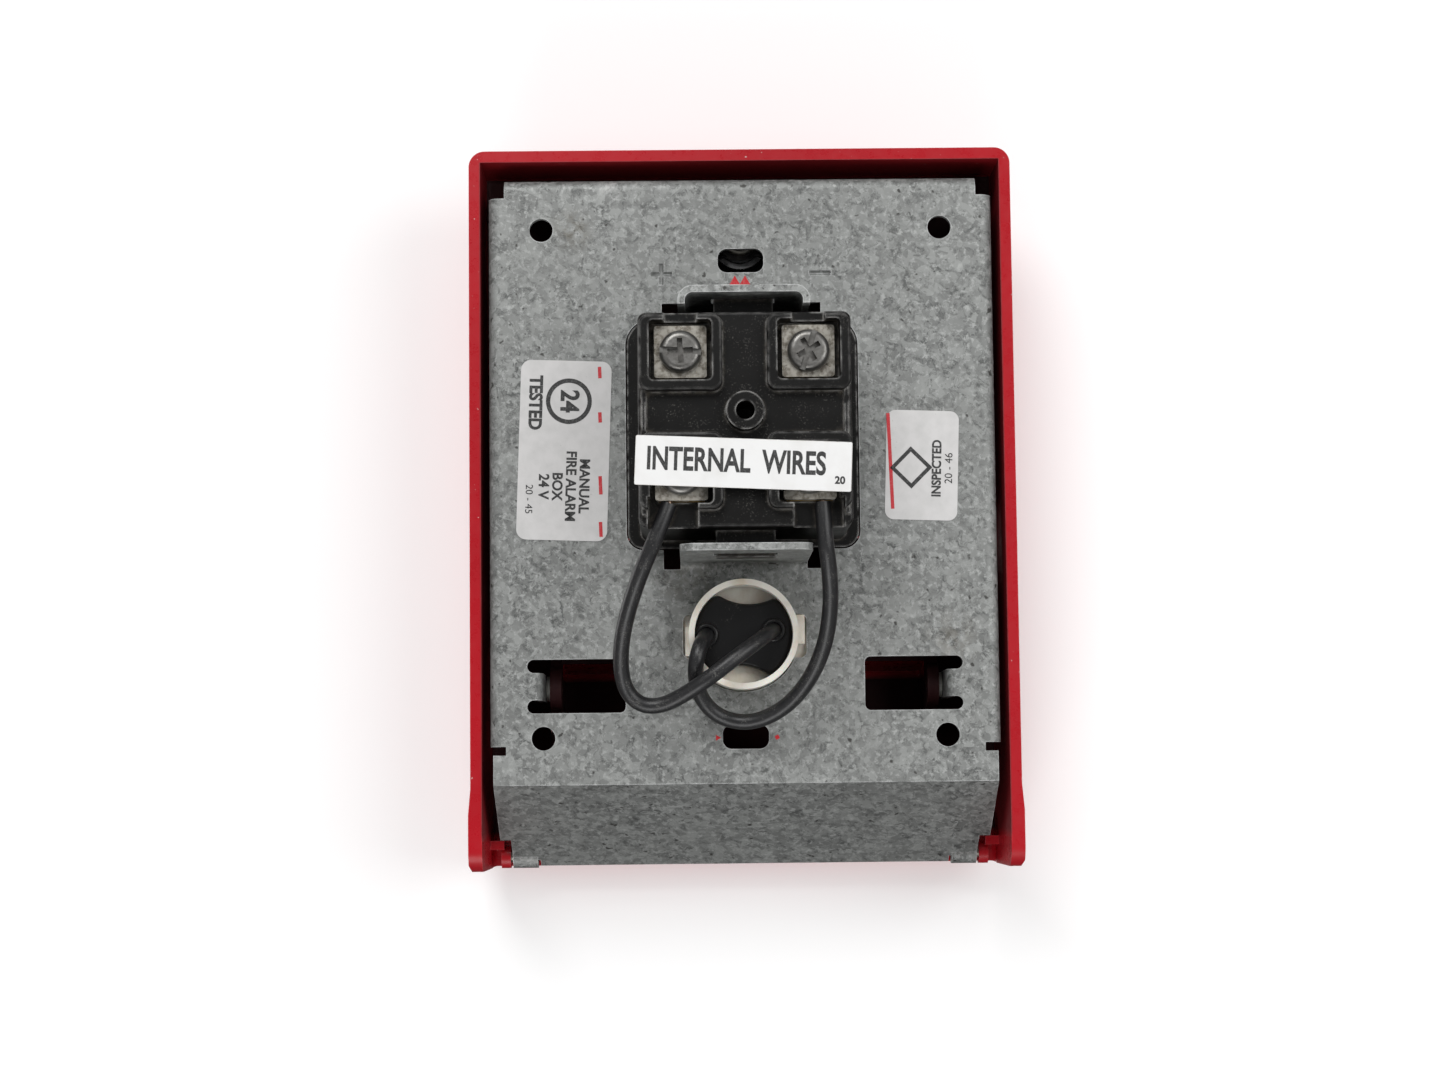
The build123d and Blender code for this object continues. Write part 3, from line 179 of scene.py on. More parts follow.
class Finish:
    """A material with one Principled shader: its tree, its coordinates and what feeds the shader."""

    def __init__(self, name, colour, roughness, metallic=0.0, **sockets):
        self.material = bpy.data.materials.new(name)
        self.material.use_nodes = True
        self.tree = self.material.node_tree
        self.shader = self.tree.nodes["Principled BSDF"]
        self.shader.inputs["Base Color"].default_value = (*colour, 1)
        self.shader.inputs["Roughness"].default_value = roughness
        self.shader.inputs["Metallic"].default_value = metallic
        for socket, value in sockets.items():
            self.shader.inputs[socket.replace("_", " ")].default_value = value
        place = self.tree.nodes.new("ShaderNodeTexCoord")
        self.place, self.facing = place.outputs["Object"], place.outputs["Normal"]
        self.colour, self.rough, self.height = None, None, None

    def mix(self, mask, colour):
        """Lays colour over what is there already, where mask is 1."""
        made = self.tree.nodes.new("ShaderNodeMix")
        made.data_type = "RGBA"
        if self.colour is None:
            made.inputs[6].default_value = self.shader.inputs["Base Color"].default_value
        else:
            self.tree.links.new(self.colour, made.inputs[6])
        made.inputs[7].default_value = (*colour, 1)
        self.tree.links.new(mask, made.inputs[0])
        self.colour = made.outputs[2]

    def roughen(self, mask, value):
        """Takes roughness towards value where mask is 1."""
        made = self.tree.nodes.new("ShaderNodeMix")
        if self.rough is None:
            made.inputs[2].default_value = self.shader.inputs["Roughness"].default_value
        else:
            self.tree.links.new(self.rough, made.inputs[2])
        made.inputs[3].default_value = value
        self.tree.links.new(mask, made.inputs[0])
        self.rough = made.outputs[0]

    def raise_by(self, value, metres):
        """Adds a height, in metres where value is 1."""
        step = math_node(self.tree, "MULTIPLY", value, metres)
        self.height = step if self.height is None else math_node(self.tree, "ADD", self.height, step)

    def patches(self, scale, low, high, strength, colour, detail=3.0, rough=0.55):
        """Lays colour in soft patches. The cloud's values low..high give a strength from 0 up."""
        cloud = noise(self.tree, self.place, scale, detail, rough)
        self.mix(spread(self.tree, cloud, low, high, 0.0, strength), colour)

    def grain(self, scale, metres):
        """A fine bumpy surface, that many metres high."""
        self.raise_by(noise(self.tree, self.place, scale), metres)

    def group(self, tree, **values):
        """Places a node group in the material, with this finish's own values."""
        made = self.tree.nodes.new("ShaderNodeGroup")
        made.node_tree = tree
        for socket, source in (("Place", self.place), ("Facing", self.facing)):
            if socket in made.inputs:
                self.tree.links.new(source, made.inputs[socket])
        for name, value in values.items():
            made.inputs[name].default_value = value
        return made.outputs

    def done(self):
        """Feeds the shader what has been laid over it."""
        if self.colour is not None:
            self.tree.links.new(self.colour, self.shader.inputs["Base Color"])
        if self.rough is not None:
            self.tree.links.new(self.rough, self.shader.inputs["Roughness"])
        if self.height is not None:
            bump = add_node(self.tree, "Bump", {"Height": self.height}, Distance=1.0)
            self.tree.links.new(bump.outputs[0], self.shader.inputs["Normal"])
        return self.material


insulation = Finish("wire insulation", (0.009, 0.009, 0.010), 0.3)
insulation.grain(1500.0, 0.00002)
insulation.roughen(noise(insulation.tree, insulation.place, 500.0), 0.45)
wire_dust = insulation.group(dust, Amount=0.42, Scale=1.8)["Mask"]
insulation.mix(wire_dust, (0.11, 0.107, 0.10))
insulation.roughen(wire_dust, 0.9)
insulation.done()


def lead(name, route, cad_node):
    """One lead as a smooth round tube through the points of its route, in millimetres."""
    curve = bpy.data.curves.new(name, "CURVE")
    curve.dimensions = "3D"
    spline = curve.splines.new("NURBS")
    spline.points.add(len(route) - 1)
    for point, (x, y, z) in zip(spline.points, route):
        point.co = (x * mm, y * mm, z * mm, 1)
    spline.order_u = 3
    spline.use_endpoint_u = True
    spline.resolution_u = 10
    curve.bevel_depth = WIRE_DIAMETER / 2 * mm
    curve.bevel_resolution = 6
    curve.use_fill_caps = True
    curve.materials.append(insulation.material)
    wire = bpy.data.objects.new(name, curve)
    bpy.context.scene.collection.objects.link(wire)
    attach(wire, "base")
    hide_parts(cad_node)


lead("left_lead", LEFT_LEAD, "lead_wire_left")
lead("right_lead", RIGHT_LEAD, "lead_wire_right")

# ---- Mounting plate -------------------------------------------------------------------------
# Bent from hot-dip galvanised sheet: a fine grey spangle, dark pinpricks and a few stains. Its
# flanges, ears, arms and skirt are one piece with it.

# Where a surface is closed in by others near it, dirt gathers and shade falls: this mask lays pale dust
# there on the terminal block, and painted shade with some dirt on the clamps, screws and barrel.
corner, given, out = new_group(
    "dirt and painted shade in corners",
    {
        "Place": ("Vector", None), "Reach": ("Float", 0.0015),
        "Amount": ("Float", 1.0), "Scale": ("Float", 900.0),
    },
    ["Mask"],
)
shade = add_node(corner, "AmbientOcclusion", {"Distance": given["Reach"]}, samples=8)
closed = math_node(corner, "SUBTRACT", 1.0, shade.outputs["AO"])
cloud = add_node(corner, "TexNoise", {"Vector": given["Place"], "Scale": given["Scale"]}, Detail=6.0)
ragged = spread(corner, cloud.outputs[0], 0.3, 0.65)
mask = math_node(corner, "MULTIPLY", spread(corner, closed, 0.25, 0.85), ragged)
corner.links.new(math_node(corner, "MULTIPLY", mask, given["Amount"], clamp=True), out["Mask"])

# Edges wear paler where the surface turns sharply, and along the galvanised sheet the same mask lays a
# painted highlight.
wear_and_highlight, given, out = new_group(
    "worn edges",
    {
        "Place": ("Vector", None), "Width": ("Float", 0.0002),
        "Amount": ("Float", 1.0), "Scale": ("Float", 700.0),
    },
    ["Mask"],
)
rounded = add_node(wear_and_highlight, "Bevel", {"Radius": given["Width"]}, samples=4)
true_normal = add_node(wear_and_highlight, "NewGeometry").outputs["Normal"]
across = add_node(wear_and_highlight, "VectorMath", {0: rounded.outputs[0], 1: true_normal}, operation="DOT_PRODUCT")
sharp = spread(wear_and_highlight, across.outputs["Value"], 0.99, 0.86)
cloud = add_node(wear_and_highlight, "TexNoise", {"Vector": given["Place"], "Scale": given["Scale"]}, Detail=4.0)
mask = math_node(wear_and_highlight, "MULTIPLY", sharp, spread(wear_and_highlight, cloud.outputs[0], 0.36, 0.6))
wear_and_highlight.links.new(math_node(wear_and_highlight, "MULTIPLY", mask, given["Amount"], clamp=True), out["Mask"])


def paint(names, material):
    """Gives the CAD pieces of those names the material."""
    for name in names:
        for slot in node[name].material_slots:
            slot.material = material


# The spangle's flakes are cells whose edges wander, and the streaks follow the same wandering.
SPANGLE_WANDER = 0.0012
zinc = Finish("galvanised sheet", (0.175, 0.18, 0.175), 0.5, 0.45)
wander = noise(zinc.tree, zinc.place, 900.0, 2.0)
shifted = add_node(zinc.tree, "VectorMath", {0: zinc.place}, operation="ADD")
push = add_node(zinc.tree, "VectorMath", {0: wander}, operation="SCALE")
push.inputs["Scale"].default_value = SPANGLE_WANDER
zinc.tree.links.new(push.outputs[0], shifted.inputs[1])
spangle = add_node(zinc.tree, "TexVoronoi", {"Vector": shifted.outputs[0]}, Scale=800.0)
flake = add_node(zinc.tree, "SeparateXYZ", {0: spangle.outputs["Color"]}).outputs[0]
zinc.mix(spread(zinc.tree, flake, 0.0, 1.0, 0.0, 0.8), (0.34, 0.35, 0.34))
streaks = noise(zinc.tree, shifted.outputs[0], 420.0, 8.0, 0.78, 1.2)
zinc.mix(spread(zinc.tree, streaks, 0.50, 0.62, 0.0, 0.95), (0.075, 0.078, 0.076))
zinc.patches(950.0, 0.52, 0.64, 0.85, (0.42, 0.43, 0.42), 6.0, 0.7)
zinc.patches(70.0, 0.35, 0.7, 0.3, (0.23, 0.235, 0.225), 5.0)
pits = noise(zinc.tree, zinc.place, 700.0, 2.0, 0.4)
zinc.mix(spread(zinc.tree, pits, 0.68, 0.74, 0.0, 0.85), (0.025, 0.023, 0.02))
# A painted highlight: the sheet is paler along every sharp edge and bend.
zinc.mix(zinc.group(wear_and_highlight, Amount=0.9, Width=0.0003, Scale=300.0)["Mask"], (0.70, 0.71, 0.71))
# Stains: where each is, how far it reaches in millimetres, how strong it is, and its colour.
for x, z, reach, strength, colour in (
    (29.5, 44.5, 4.5, 0.55, (0.10, 0.085, 0.06)),
    (23.0, 52.0, 3.0, 0.6, (0.52, 0.52, 0.51)),
    (-36.0, -28.0, 6.0, 0.35, (0.14, 0.12, 0.09)),
    (10.0, -17.0, 7.0, 0.35, (0.13, 0.115, 0.09)),
):
    away = add_node(zinc.tree, "VectorMath", {0: zinc.place}, operation="DISTANCE")
    away.inputs[1].default_value = (x * mm, 0, z * mm)
    near = spread(zinc.tree, away.outputs["Value"], 0.2 * reach * mm, reach * mm, strength, 0.0)
    ragged = spread(zinc.tree, noise(zinc.tree, zinc.place, 500.0, 6.0, 0.7), 0.42, 0.58)
    zinc.mix(math_node(zinc.tree, "MULTIPLY", near, ragged), colour)
zinc.roughen(flake, 0.62)
zinc.raise_by(flake, 0.000012)
zinc.grain(1800.0, 0.00001)
zinc.done()
paint(["mounting_plate"], zinc.material)

# ---- Red ink on the plate -------------------------------------------------------------------
# Inspection marks stamped in red ink: two triangles above the upper arm, and two small marks
# beside the lower slot.
INK = 0.02  # its thickness, in millimetres
ink = Finish("red ink", (0.50, 0.008, 0.015), 0.6)
ink.patches(2500.0, 0.5, 0.75, 0.5, (0.40, 0.20, 0.19))
ink.done()


def ink_mark(name, x, z, radius, corners, turn):
    """A flat printed mark, a few hundredths of a millimetre thick, on the plate's back."""
    bpy.ops.object.select_all(action="DESELECT")
    bpy.ops.mesh.primitive_circle_add(
        vertices=corners, radius=radius * mm, fill_type="NGON", location=(x * mm, INK / 2 * mm, z * mm),
        rotation=(math.radians(-90), 0, 0),
    )
    mark = bpy.context.object
    mark.name = name
    bpy.ops.object.mode_set(mode="EDIT")
    bpy.ops.mesh.select_all(action="SELECT")
    bpy.ops.mesh.extrude_region_move(TRANSFORM_OT_translate={"value": (0, INK * mm, 0)})
    bpy.ops.mesh.select_all(action="SELECT")
    bpy.ops.transform.rotate(
        value=math.radians(turn), orient_axis="Y", center_override=(x * mm, 0, z * mm)
    )
    bpy.ops.mesh.normals_make_consistent(inside=False)
    bpy.ops.object.mode_set(mode="OBJECT")
    bpy.ops.object.transform_apply(location=True, rotation=True, scale=True)
    mark.data.materials.append(ink.material)
    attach(mark, "base")


ink_mark("ink_upper_1", 1.05, 34.9, 1.25, 3, 180)
ink_mark("ink_upper_2", -0.75, 34.9, 1.25, 3, 180)
ink_mark("ink_lower_1", 4.9, -44.6, 0.6, 3, 30)
ink_mark("ink_lower_2", -5.4, -44.6, 0.5, 4, 20)

# ---- Small zinc and spring steel parts --------------------------------------------------------
# Pins and the cam's screw are turned steel with a dull zinc plate, the lock's washer, nut and cam
# are blackened steel, the rings and the coil are spring steel, and the lever's washers are nylon.
plated = Finish("dull zinc plate", (0.36, 0.345, 0.31), 0.42, 0.8)
plated.patches(900.0, 0.4, 0.75, 0.7, (0.20, 0.18, 0.145), 5.0)
plated.grain(2200.0, 0.00001)
plated.done()
paint(["hinge_pins", "pivot_pins", "cam_screw"], plated.material)

blackened = Finish("blackened steel", (0.02, 0.02, 0.021), 0.5, 0.7)
blackened.patches(900.0, 0.45, 0.75, 1.0, (0.05, 0.045, 0.04), 5.0)
blackened.done()
paint(["lock_washer", "lock_nut", "lock_cam"], blackened.material)

spring_steel = Finish("spring steel", (0.26, 0.26, 0.27), 0.35, 0.9)
spring_steel.roughen(noise(spring_steel.tree, spring_steel.place, 1500.0), 0.55)
spring_steel.done()
paint(["retaining_rings", "plunger_spring"], spring_steel.material)

nylon = Finish("white nylon", (0.72, 0.72, 0.68), 0.5)
nylon.mix(noise(nylon.tree, nylon.place, 300.0), (0.6, 0.59, 0.53))
nylon.done()
paint(["pivot_washers"], nylon.material)

# ---- Terminal block ---------------------------------------------------------------------------
# Black phenolic moulding, smooth and slightly glossy where it is clean. Years of dust lie in its
# boxes and on its ledges.
phenolic = Finish("black phenolic", (0.004, 0.0038, 0.0036), 0.28, Specular_IOR_Level=0.2)
phenolic.grain(1300.0, 0.000012)
phenolic.roughen(noise(phenolic.tree, phenolic.place, 260.0, 4.0), 0.5)
phenolic.mix(phenolic.group(wear_and_highlight, Amount=1.0, Width=0.0006, Scale=600.0)["Mask"], (0.30, 0.295, 0.285))
block_dust = phenolic.group(dust, Amount=0.36, Scale=1.3)["Mask"]
phenolic.mix(block_dust, (0.075, 0.072, 0.066))
phenolic.roughen(block_dust, 0.85)
phenolic.mix(phenolic.group(corner, Amount=0.8, Reach=0.0016, Scale=1500.0)["Mask"], (0.17, 0.15, 0.12))
phenolic.done()
paint(["terminal_block"], phenolic.material)

# ---- Terminals --------------------------------------------------------------------------------
# Square clamp plates and pan-head screws of zinc-plated steel, dulled and yellowed, on two brass
# bars. The bared ends of the leads are under the lower clamps.
clamp = Finish("yellowed clamp plate", (0.40, 0.38, 0.335), 0.5, 0.35)
clamp.patches(800.0, 0.46, 0.6, 0.9, (0.13, 0.11, 0.085), 8.0, 0.7)
# Painted shade, partly dirt: near-black where the clamp plates are closed in.
clamp.mix(clamp.group(corner, Amount=1.0, Reach=0.003, Scale=1500.0)["Mask"], (0.03, 0.026, 0.02))
crust = spread(clamp.tree, noise(clamp.tree, clamp.place, 1100.0, 8.0, 0.8), 0.55, 0.66)
clamp.mix(crust, (0.58, 0.53, 0.42))
clamp.raise_by(crust, 0.00008)
clamp.grain(1500.0, 0.00003)
clamp.done()
for row in ("upper", "lower"):
    paint([f"clamp_plate_{row}_left", f"clamp_plate_{row}_right"], clamp.material)

screw = Finish("terminal screw", (0.22, 0.215, 0.205), 0.34, 0.8)
screw.patches(700.0, 0.42, 0.7, 0.85, (0.10, 0.095, 0.085), 8.0, 0.7)
# Painted shade, partly dirt: darker where the screws are closed in.
screw.mix(screw.group(corner, Amount=0.9, Reach=0.0006, Scale=1500.0)["Mask"], (0.07, 0.06, 0.05))
screw.grain(1300.0, 0.00003)
screw.done()
paint(["terminal_screws"], screw.material)

brass = Finish("dull brass", (0.48, 0.33, 0.13), 0.42, 0.9)
brass.mix(noise(brass.tree, brass.place, 500.0, 4.0), (0.30, 0.20, 0.09))
brass.done()
paint(["bus_bar_left", "bus_bar_right", "fixed_contacts", "moving_contact"], brass.material)

copper = Finish("tinned copper strands", (0.55, 0.42, 0.33), 0.4, 0.9)
strand = add_node(copper.tree, "TexWave", {"Vector": copper.place}, Scale=900.0, Distortion=1.0)
copper.mix(strand.outputs[0], (0.35, 0.20, 0.12))
copper.done()
paint(["lead_ends"], copper.material)

# ---- Switch barrel ----------------------------------------------------------------------------
# Off-white nylon moulding, yellowed, with brown grime around its rim, and painted shade with grime in
# its corners.
cream = Finish("aged nylon", (0.80, 0.77, 0.70), 0.42, Subsurface_Weight=0.15, Subsurface_Scale=0.001)
cream.patches(160.0, 0.45, 0.72, 0.8, (0.55, 0.47, 0.35), 6.0, 0.6)
cream.mix(cream.group(corner, Amount=0.7, Reach=0.002, Scale=500.0)["Mask"], (0.22, 0.165, 0.10))
cream.mix(cream.group(dust, Amount=0.16, Scale=1.2)["Mask"], (0.20, 0.17, 0.13))
cream.grain(900.0, 0.00002)
cream.done()
paint(["switch_holder"], cream.material)

# The insert that holds the leads' collars, and the plunger under it, are a softer, shinier black
# than the terminal block.
rubbery = Finish("black moulded insert", (0.007, 0.007, 0.0075), 0.3, Specular_IOR_Level=0.35)
rubbery.grain(1600.0, 0.00001)
insert_dust = rubbery.group(dust, Amount=0.25, Scale=1.2)["Mask"]
rubbery.mix(insert_dust, (0.10, 0.095, 0.085))
rubbery.roughen(insert_dust, 0.85)
rubbery.done()
paint(["switch_insert", "switch_plunger"], rubbery.material)

# ---- Labels -----------------------------------------------------------------------------------
# Three printed labels: two of grey-white film on the plate and a white strip across the lower
# terminals. Their print is generic.
film = Finish("label film", (0.60, 0.59, 0.585), 0.5)
film.patches(400.0, 0.4, 0.75, 0.5, (0.45, 0.45, 0.44), 5.0)
film.mix(film.group(dust, Amount=0.12, Scale=0.8)["Mask"], (0.22, 0.2, 0.17))
film.done()
paint(["rating_label", "approval_label"], film.material)

strip = Finish("white label strip", (0.76, 0.76, 0.755), 0.45)
strip.patches(200.0, 0.45, 0.75, 0.6, (0.66, 0.65, 0.63), 5.0)
strip.mix(strip.group(wear_and_highlight, Amount=0.8, Width=0.0003)["Mask"], (0.5, 0.47, 0.42))
strip.done()
paint(["wiring_label"], strip.material)

black_print = Finish("black print", (0.02, 0.02, 0.02), 0.5)
black_print.patches(3500.0, 0.5, 0.75, 1.0, (0.10, 0.10, 0.10))
black_print.done()
red_print = Finish("red print", (0.50, 0.02, 0.03), 0.5)
red_print.patches(3000.0, 0.5, 0.75, 1.0, (0.52, 0.10, 0.10))
red_print.done()

PRINT, LIFT = 0.03, 0.002  # how thick a printed layer is, and how far it stands off, in millimetres


def lettering(name, words, x, y, z, size, turn, width=1.0, weight=0.0, finish=black_print,
              body="base", depth=PRINT, tip=0.0, from_front=False):
    """Raised letters. turn 0 reads level, and 90 reads downwards. y is the surface under them."""
    bpy.ops.object.select_all(action="DESELECT")
    bpy.ops.object.text_add(location=(0, 0, 0))
    text = bpy.context.object
    text.name = name
    text.data.body = words
    text.data.size = size * mm
    text.data.align_x = "CENTER"
    text.data.align_y = "CENTER"
    text.data.offset = weight * mm
    text.data.extrude = depth / 2 * mm
    text.data.resolution_u = 4
    text.scale = (width, 1, 1)
    about, side = (0, -1) if from_front else (180, 1)
    text.rotation_euler = (math.radians(90 + tip), math.radians(turn), math.radians(about))
    text.location = (x * mm, (y + side * depth / 2) * mm, z * mm)
    bpy.ops.object.convert(target="MESH")
    bpy.ops.object.transform_apply(location=True, rotation=True, scale=True)
    text.data.materials.clear()
    text.data.materials.append(finish.material)
    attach(text, body)


def bar(name, x0, x1, z0, z1, y, tilt, finish):
    """A printed line."""
    bpy.ops.object.select_all(action="DESELECT")
    bpy.ops.mesh.primitive_plane_add(size=1, location=(0, 0, 0), rotation=(math.radians(-90), 0, 0))
    line = bpy.context.object
    line.name = name
    line.dimensions = ((x1 - x0) * mm, (z1 - z0) * mm, 0)
    line.rotation_euler = (math.radians(-90), math.radians(tilt), 0)
    line.location = ((x0 + x1) / 2 * mm, y * mm, (z0 + z1) / 2 * mm)
    bpy.ops.object.transform_apply(location=True, rotation=True, scale=True)
    bpy.ops.object.mode_set(mode="EDIT")
    bpy.ops.mesh.select_all(action="SELECT")
    bpy.ops.mesh.extrude_region_move(TRANSFORM_OT_translate={"value": (0, PRINT * mm, 0)})
    bpy.ops.mesh.select_all(action="SELECT")
    bpy.ops.mesh.normals_make_consistent(inside=False)
    bpy.ops.object.mode_set(mode="OBJECT")
    line.data.materials.append(finish.material)
    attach(line, "base")


def ring(name, x, y, z, radius, width, corners=48):
    """A printed ring, or a printed frame when it has few corners."""
    bpy.ops.object.select_all(action="DESELECT")
    bpy.ops.mesh.primitive_circle_add(
        vertices=corners, radius=radius * mm, fill_type="NGON", location=(0, 0, 0),
    )
    made = bpy.context.object
    made.name = name
    bpy.ops.object.mode_set(mode="EDIT")
    bpy.ops.mesh.select_all(action="SELECT")
    bpy.ops.mesh.inset(thickness=width * mm, depth=0)
    bpy.ops.mesh.delete(type="FACE")
    bpy.ops.mesh.select_all(action="SELECT")
    bpy.ops.mesh.extrude_region_move(TRANSFORM_OT_translate={"value": (0, 0, PRINT * mm)})
    bpy.ops.mesh.select_all(action="SELECT")
    bpy.ops.mesh.normals_make_consistent(inside=False)
    bpy.ops.object.mode_set(mode="OBJECT")
    made.rotation_euler = (math.radians(-90), 0, 0)
    made.location = (x * mm, y * mm, z * mm)
    bpy.ops.object.transform_apply(location=True, rotation=True, scale=True)
    made.data.materials.append(black_print.material)
    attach(made, "base")


# The strip lies a little out of level, and its words are narrow.
STRIP_TURN = 2.5
strip_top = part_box("wiring_label")[1].y / mm + LIFT
lettering("print_wires", "INTERNAL  WIRES", 1.6, strip_top, 0.05, 5.3, STRIP_TURN, 0.69, 0.14)
lettering("print_strip_number", "20", -15.4, strip_top, -3.2, 1.7, STRIP_TURN, weight=0.06)

# The rating label reads downwards: a ringed mark and a word, then four lines of ratings and a
# number. Broken red lines edge it. All are placed from its middle, in millimetres.
FILM_TURN = 2.0
DOWNWARDS, UPWARDS = 90 + FILM_TURN, FILM_TURN - 90
LINE_STEP = 2.35
film_low, film_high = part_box("rating_label")
film_top = film_high.y / mm + LIFT
rating_x, rating_z = (film_low.x + film_high.x) / 2 / mm, (film_low.z + film_high.z) / 2 / mm
mark_x, mark_z = rating_x - 0.9, rating_z + 8.6
ring("print_ring", mark_x, film_top, mark_z, 4.0, 0.75)
lettering("print_ring_mark", "24", mark_x, film_top, mark_z, 4.4, DOWNWARDS, 0.9, 0.14)
lettering("print_tested", "TESTED", rating_x + 5.0, film_top, rating_z + 8.4, 3.1, DOWNWARDS, 0.9, 0.12)
for index, words in enumerate(("MANUAL", "FIRE ALARM", "BOX", "24 V")):
    lettering(
        f"print_rating_{index}", words, rating_x - 3.4 + LINE_STEP * index, film_top,
        rating_z - 6.3, 2.45, DOWNWARDS, 0.95, 0.07,
    )
lettering("print_rating_number", "20 - 45", rating_x + 6.2, film_top, rating_z - 8.5, 1.8, DOWNWARDS)
for index, (z0, z1) in enumerate(((-15.2, -12.6), (-7.8, -4.6), (4.8, 6.6), (12.6, 14.6))):
    bar(
        f"print_red_{index}", rating_x - 6.6, rating_x - 6.0, rating_z + z0, rating_z + z1,
        film_top, FILM_TURN, red_print,
    )

# The approval label reads upwards: a diamond, a word, a number and one red line.
film_low, film_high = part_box("approval_label")
approval_x, approval_z = (film_low.x + film_high.x) / 2 / mm, (film_low.z + film_high.z) / 2 / mm
ring("print_diamond", approval_x + 1.9, film_top, approval_z - 0.4, 3.7, 0.65, 4)
words_z = approval_z - 0.6
lettering("print_inspected", "INSPECTED", approval_x - 2.6, film_top, words_z, 2.2, UPWARDS, 0.9, 0.07)
lettering("print_approval_number", "20 - 46", approval_x - 4.7, film_top, words_z, 1.9, UPWARDS)
bar(
    "print_red_edge", approval_x + 5.2, approval_x + 5.8, approval_z - 7.6, approval_z + 9.2,
    film_top, FILM_TURN, red_print,
)

# ---- Red mouldings ----------------------------------------------------------------------------
# The cover and the lever are glossy red plastic, coloured right through. Their edges are chipped
# and scuffed paler, and pale specks cling to their walls.
# Painted shade for the insides of both mouldings: its colour, and the roughness that goes with it.
PAINTED_SHADE, PAINTED_SHADE_ROUGHNESS = (0.03, 0.005, 0.006), 0.7


def red_finish(name):
    """The red plastic of both mouldings, before each gets the painted shade of its own inside."""
    red = Finish(name, (0.40, 0.007, 0.014), 0.26, Specular_IOR_Level=0.3)
    red.patches(90.0, 0.35, 0.7, 0.5, (0.35, 0.006, 0.012), 5.0)
    scuffs = noise(red.tree, red.place, 420.0, 6.0, 0.7)
    red.roughen(spread(red.tree, scuffs, 0.4, 0.75), 0.4)
    red.mix(red.group(wear_and_highlight, Amount=0.6, Width=0.00025, Scale=500.0)["Mask"], (0.55, 0.11, 0.12))
    specks = noise(red.tree, red.place, 1400.0, 2.0, 0.5)
    red.mix(spread(red.tree, specks, 0.735, 0.77, 0.0, 0.8), (0.62, 0.48, 0.46))
    red.grain(700.0, 0.000006)
    return red


# Inside, between its walls, the cover is dull and painted dark as shade, which comes in between the two
# distances of each pair, in metres: in from the outside of the side walls and of the top, out to
# the sloping front as it stands at z = 0, and up from the lower edge.
FRONT_SLOPE = 0.0912
SIDE_WALL = (0.0026, 0.0021)
TOP_WALL = (0.0022, 0.0018)
FRONT_WALL = (0.0208, 0.0204)
LOW_EDGE = (0.0050, 0.0065)
cover_low, cover_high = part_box("cover_shell")
cover_red = red_finish("red cover")
tree = cover_red.tree
spot = add_node(tree, "SeparateXYZ", {0: cover_red.place}).outputs
sideways = math_node(tree, "ABSOLUTE", spot[0])
beside = spread(tree, sideways, cover_high.x - SIDE_WALL[0], cover_high.x - SIDE_WALL[1], 1.0, 0.0)
under = spread(tree, spot[2], cover_high.z - TOP_WALL[0], cover_high.z - TOP_WALL[1], 1.0, 0.0)
depth = math_node(tree, "SUBTRACT", spot[1], math_node(tree, "MULTIPLY", spot[2], FRONT_SLOPE))
behind = spread(tree, depth, -FRONT_WALL[0], -FRONT_WALL[1])
above_hinge = spread(tree, spot[2], cover_low.z + LOW_EDGE[0], cover_low.z + LOW_EDGE[1])
inside = math_node(tree, "MULTIPLY", math_node(tree, "MULTIPLY", beside, under), behind)
inside = math_node(tree, "MULTIPLY", inside, above_hinge)
cover_red.mix(inside, PAINTED_SHADE)
cover_red.roughen(inside, PAINTED_SHADE_ROUGHNESS)
cover_red.done()
paint(["cover_shell"], cover_red.material)

# The lever is painted dark as shade, and dulled, behind its rear wall and inside its drum, which turns
# about the pins.
# These are in metres from the pins: the rear wall, the drum's radius and the drum's upper end.
REAR_WALL = (0.0037, 0.0033)
DRUM_INSIDE = (0.0143, 0.0146)
DRUM_END = (0.0015, 0.0025)
pin_low, pin_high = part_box("pivot_pins")
pivot_y, pivot_z = (pin_low.y + pin_high.y) / 2, (pin_low.z + pin_high.z) / 2
lever_red = red_finish("red lever")
tree = lever_red.tree
spot = add_node(tree, "SeparateXYZ", {0: lever_red.place}).outputs
rear = spread(tree, spot[1], pivot_y - REAR_WALL[0], pivot_y - REAR_WALL[1])
back = math_node(tree, "SUBTRACT", spot[1], pivot_y)
rise = math_node(tree, "SUBTRACT", spot[2], pivot_z)
back_squared = math_node(tree, "MULTIPLY", back, back)
square = math_node(tree, "ADD", back_squared, math_node(tree, "MULTIPLY", rise, rise))
drum = spread(tree, math_node(tree, "SQRT", square), *DRUM_INSIDE, 1.0, 0.0)
drum = math_node(tree, "MULTIPLY", drum, spread(tree, rise, *DRUM_END, 1.0, 0.0))
inside = math_node(tree, "MAXIMUM", rear, drum)
lever_red.mix(inside, PAINTED_SHADE)
lever_red.roughen(inside, PAINTED_SHADE_ROUGHNESS)
lever_red.done()
paint(["lever_frame"], lever_red.material)

# ---- Grip and its lettering ---------------------------------------------------------------------
# A glossy white moulding across the lever. Red raised letters stand on it, white ones stand on the
# cover above it, and a rubber pad on the lever meets the switch.
white = Finish("white grip", (0.78, 0.78, 0.75), 0.25, Coat_Weight=0.2)
white.patches(120.0, 0.4, 0.75, 0.5, (0.66, 0.65, 0.6), 5.0)
white.roughen(noise(white.tree, white.place, 500.0, 5.0), 0.4)
white.done()
paint(["pull_handle"], white.material)

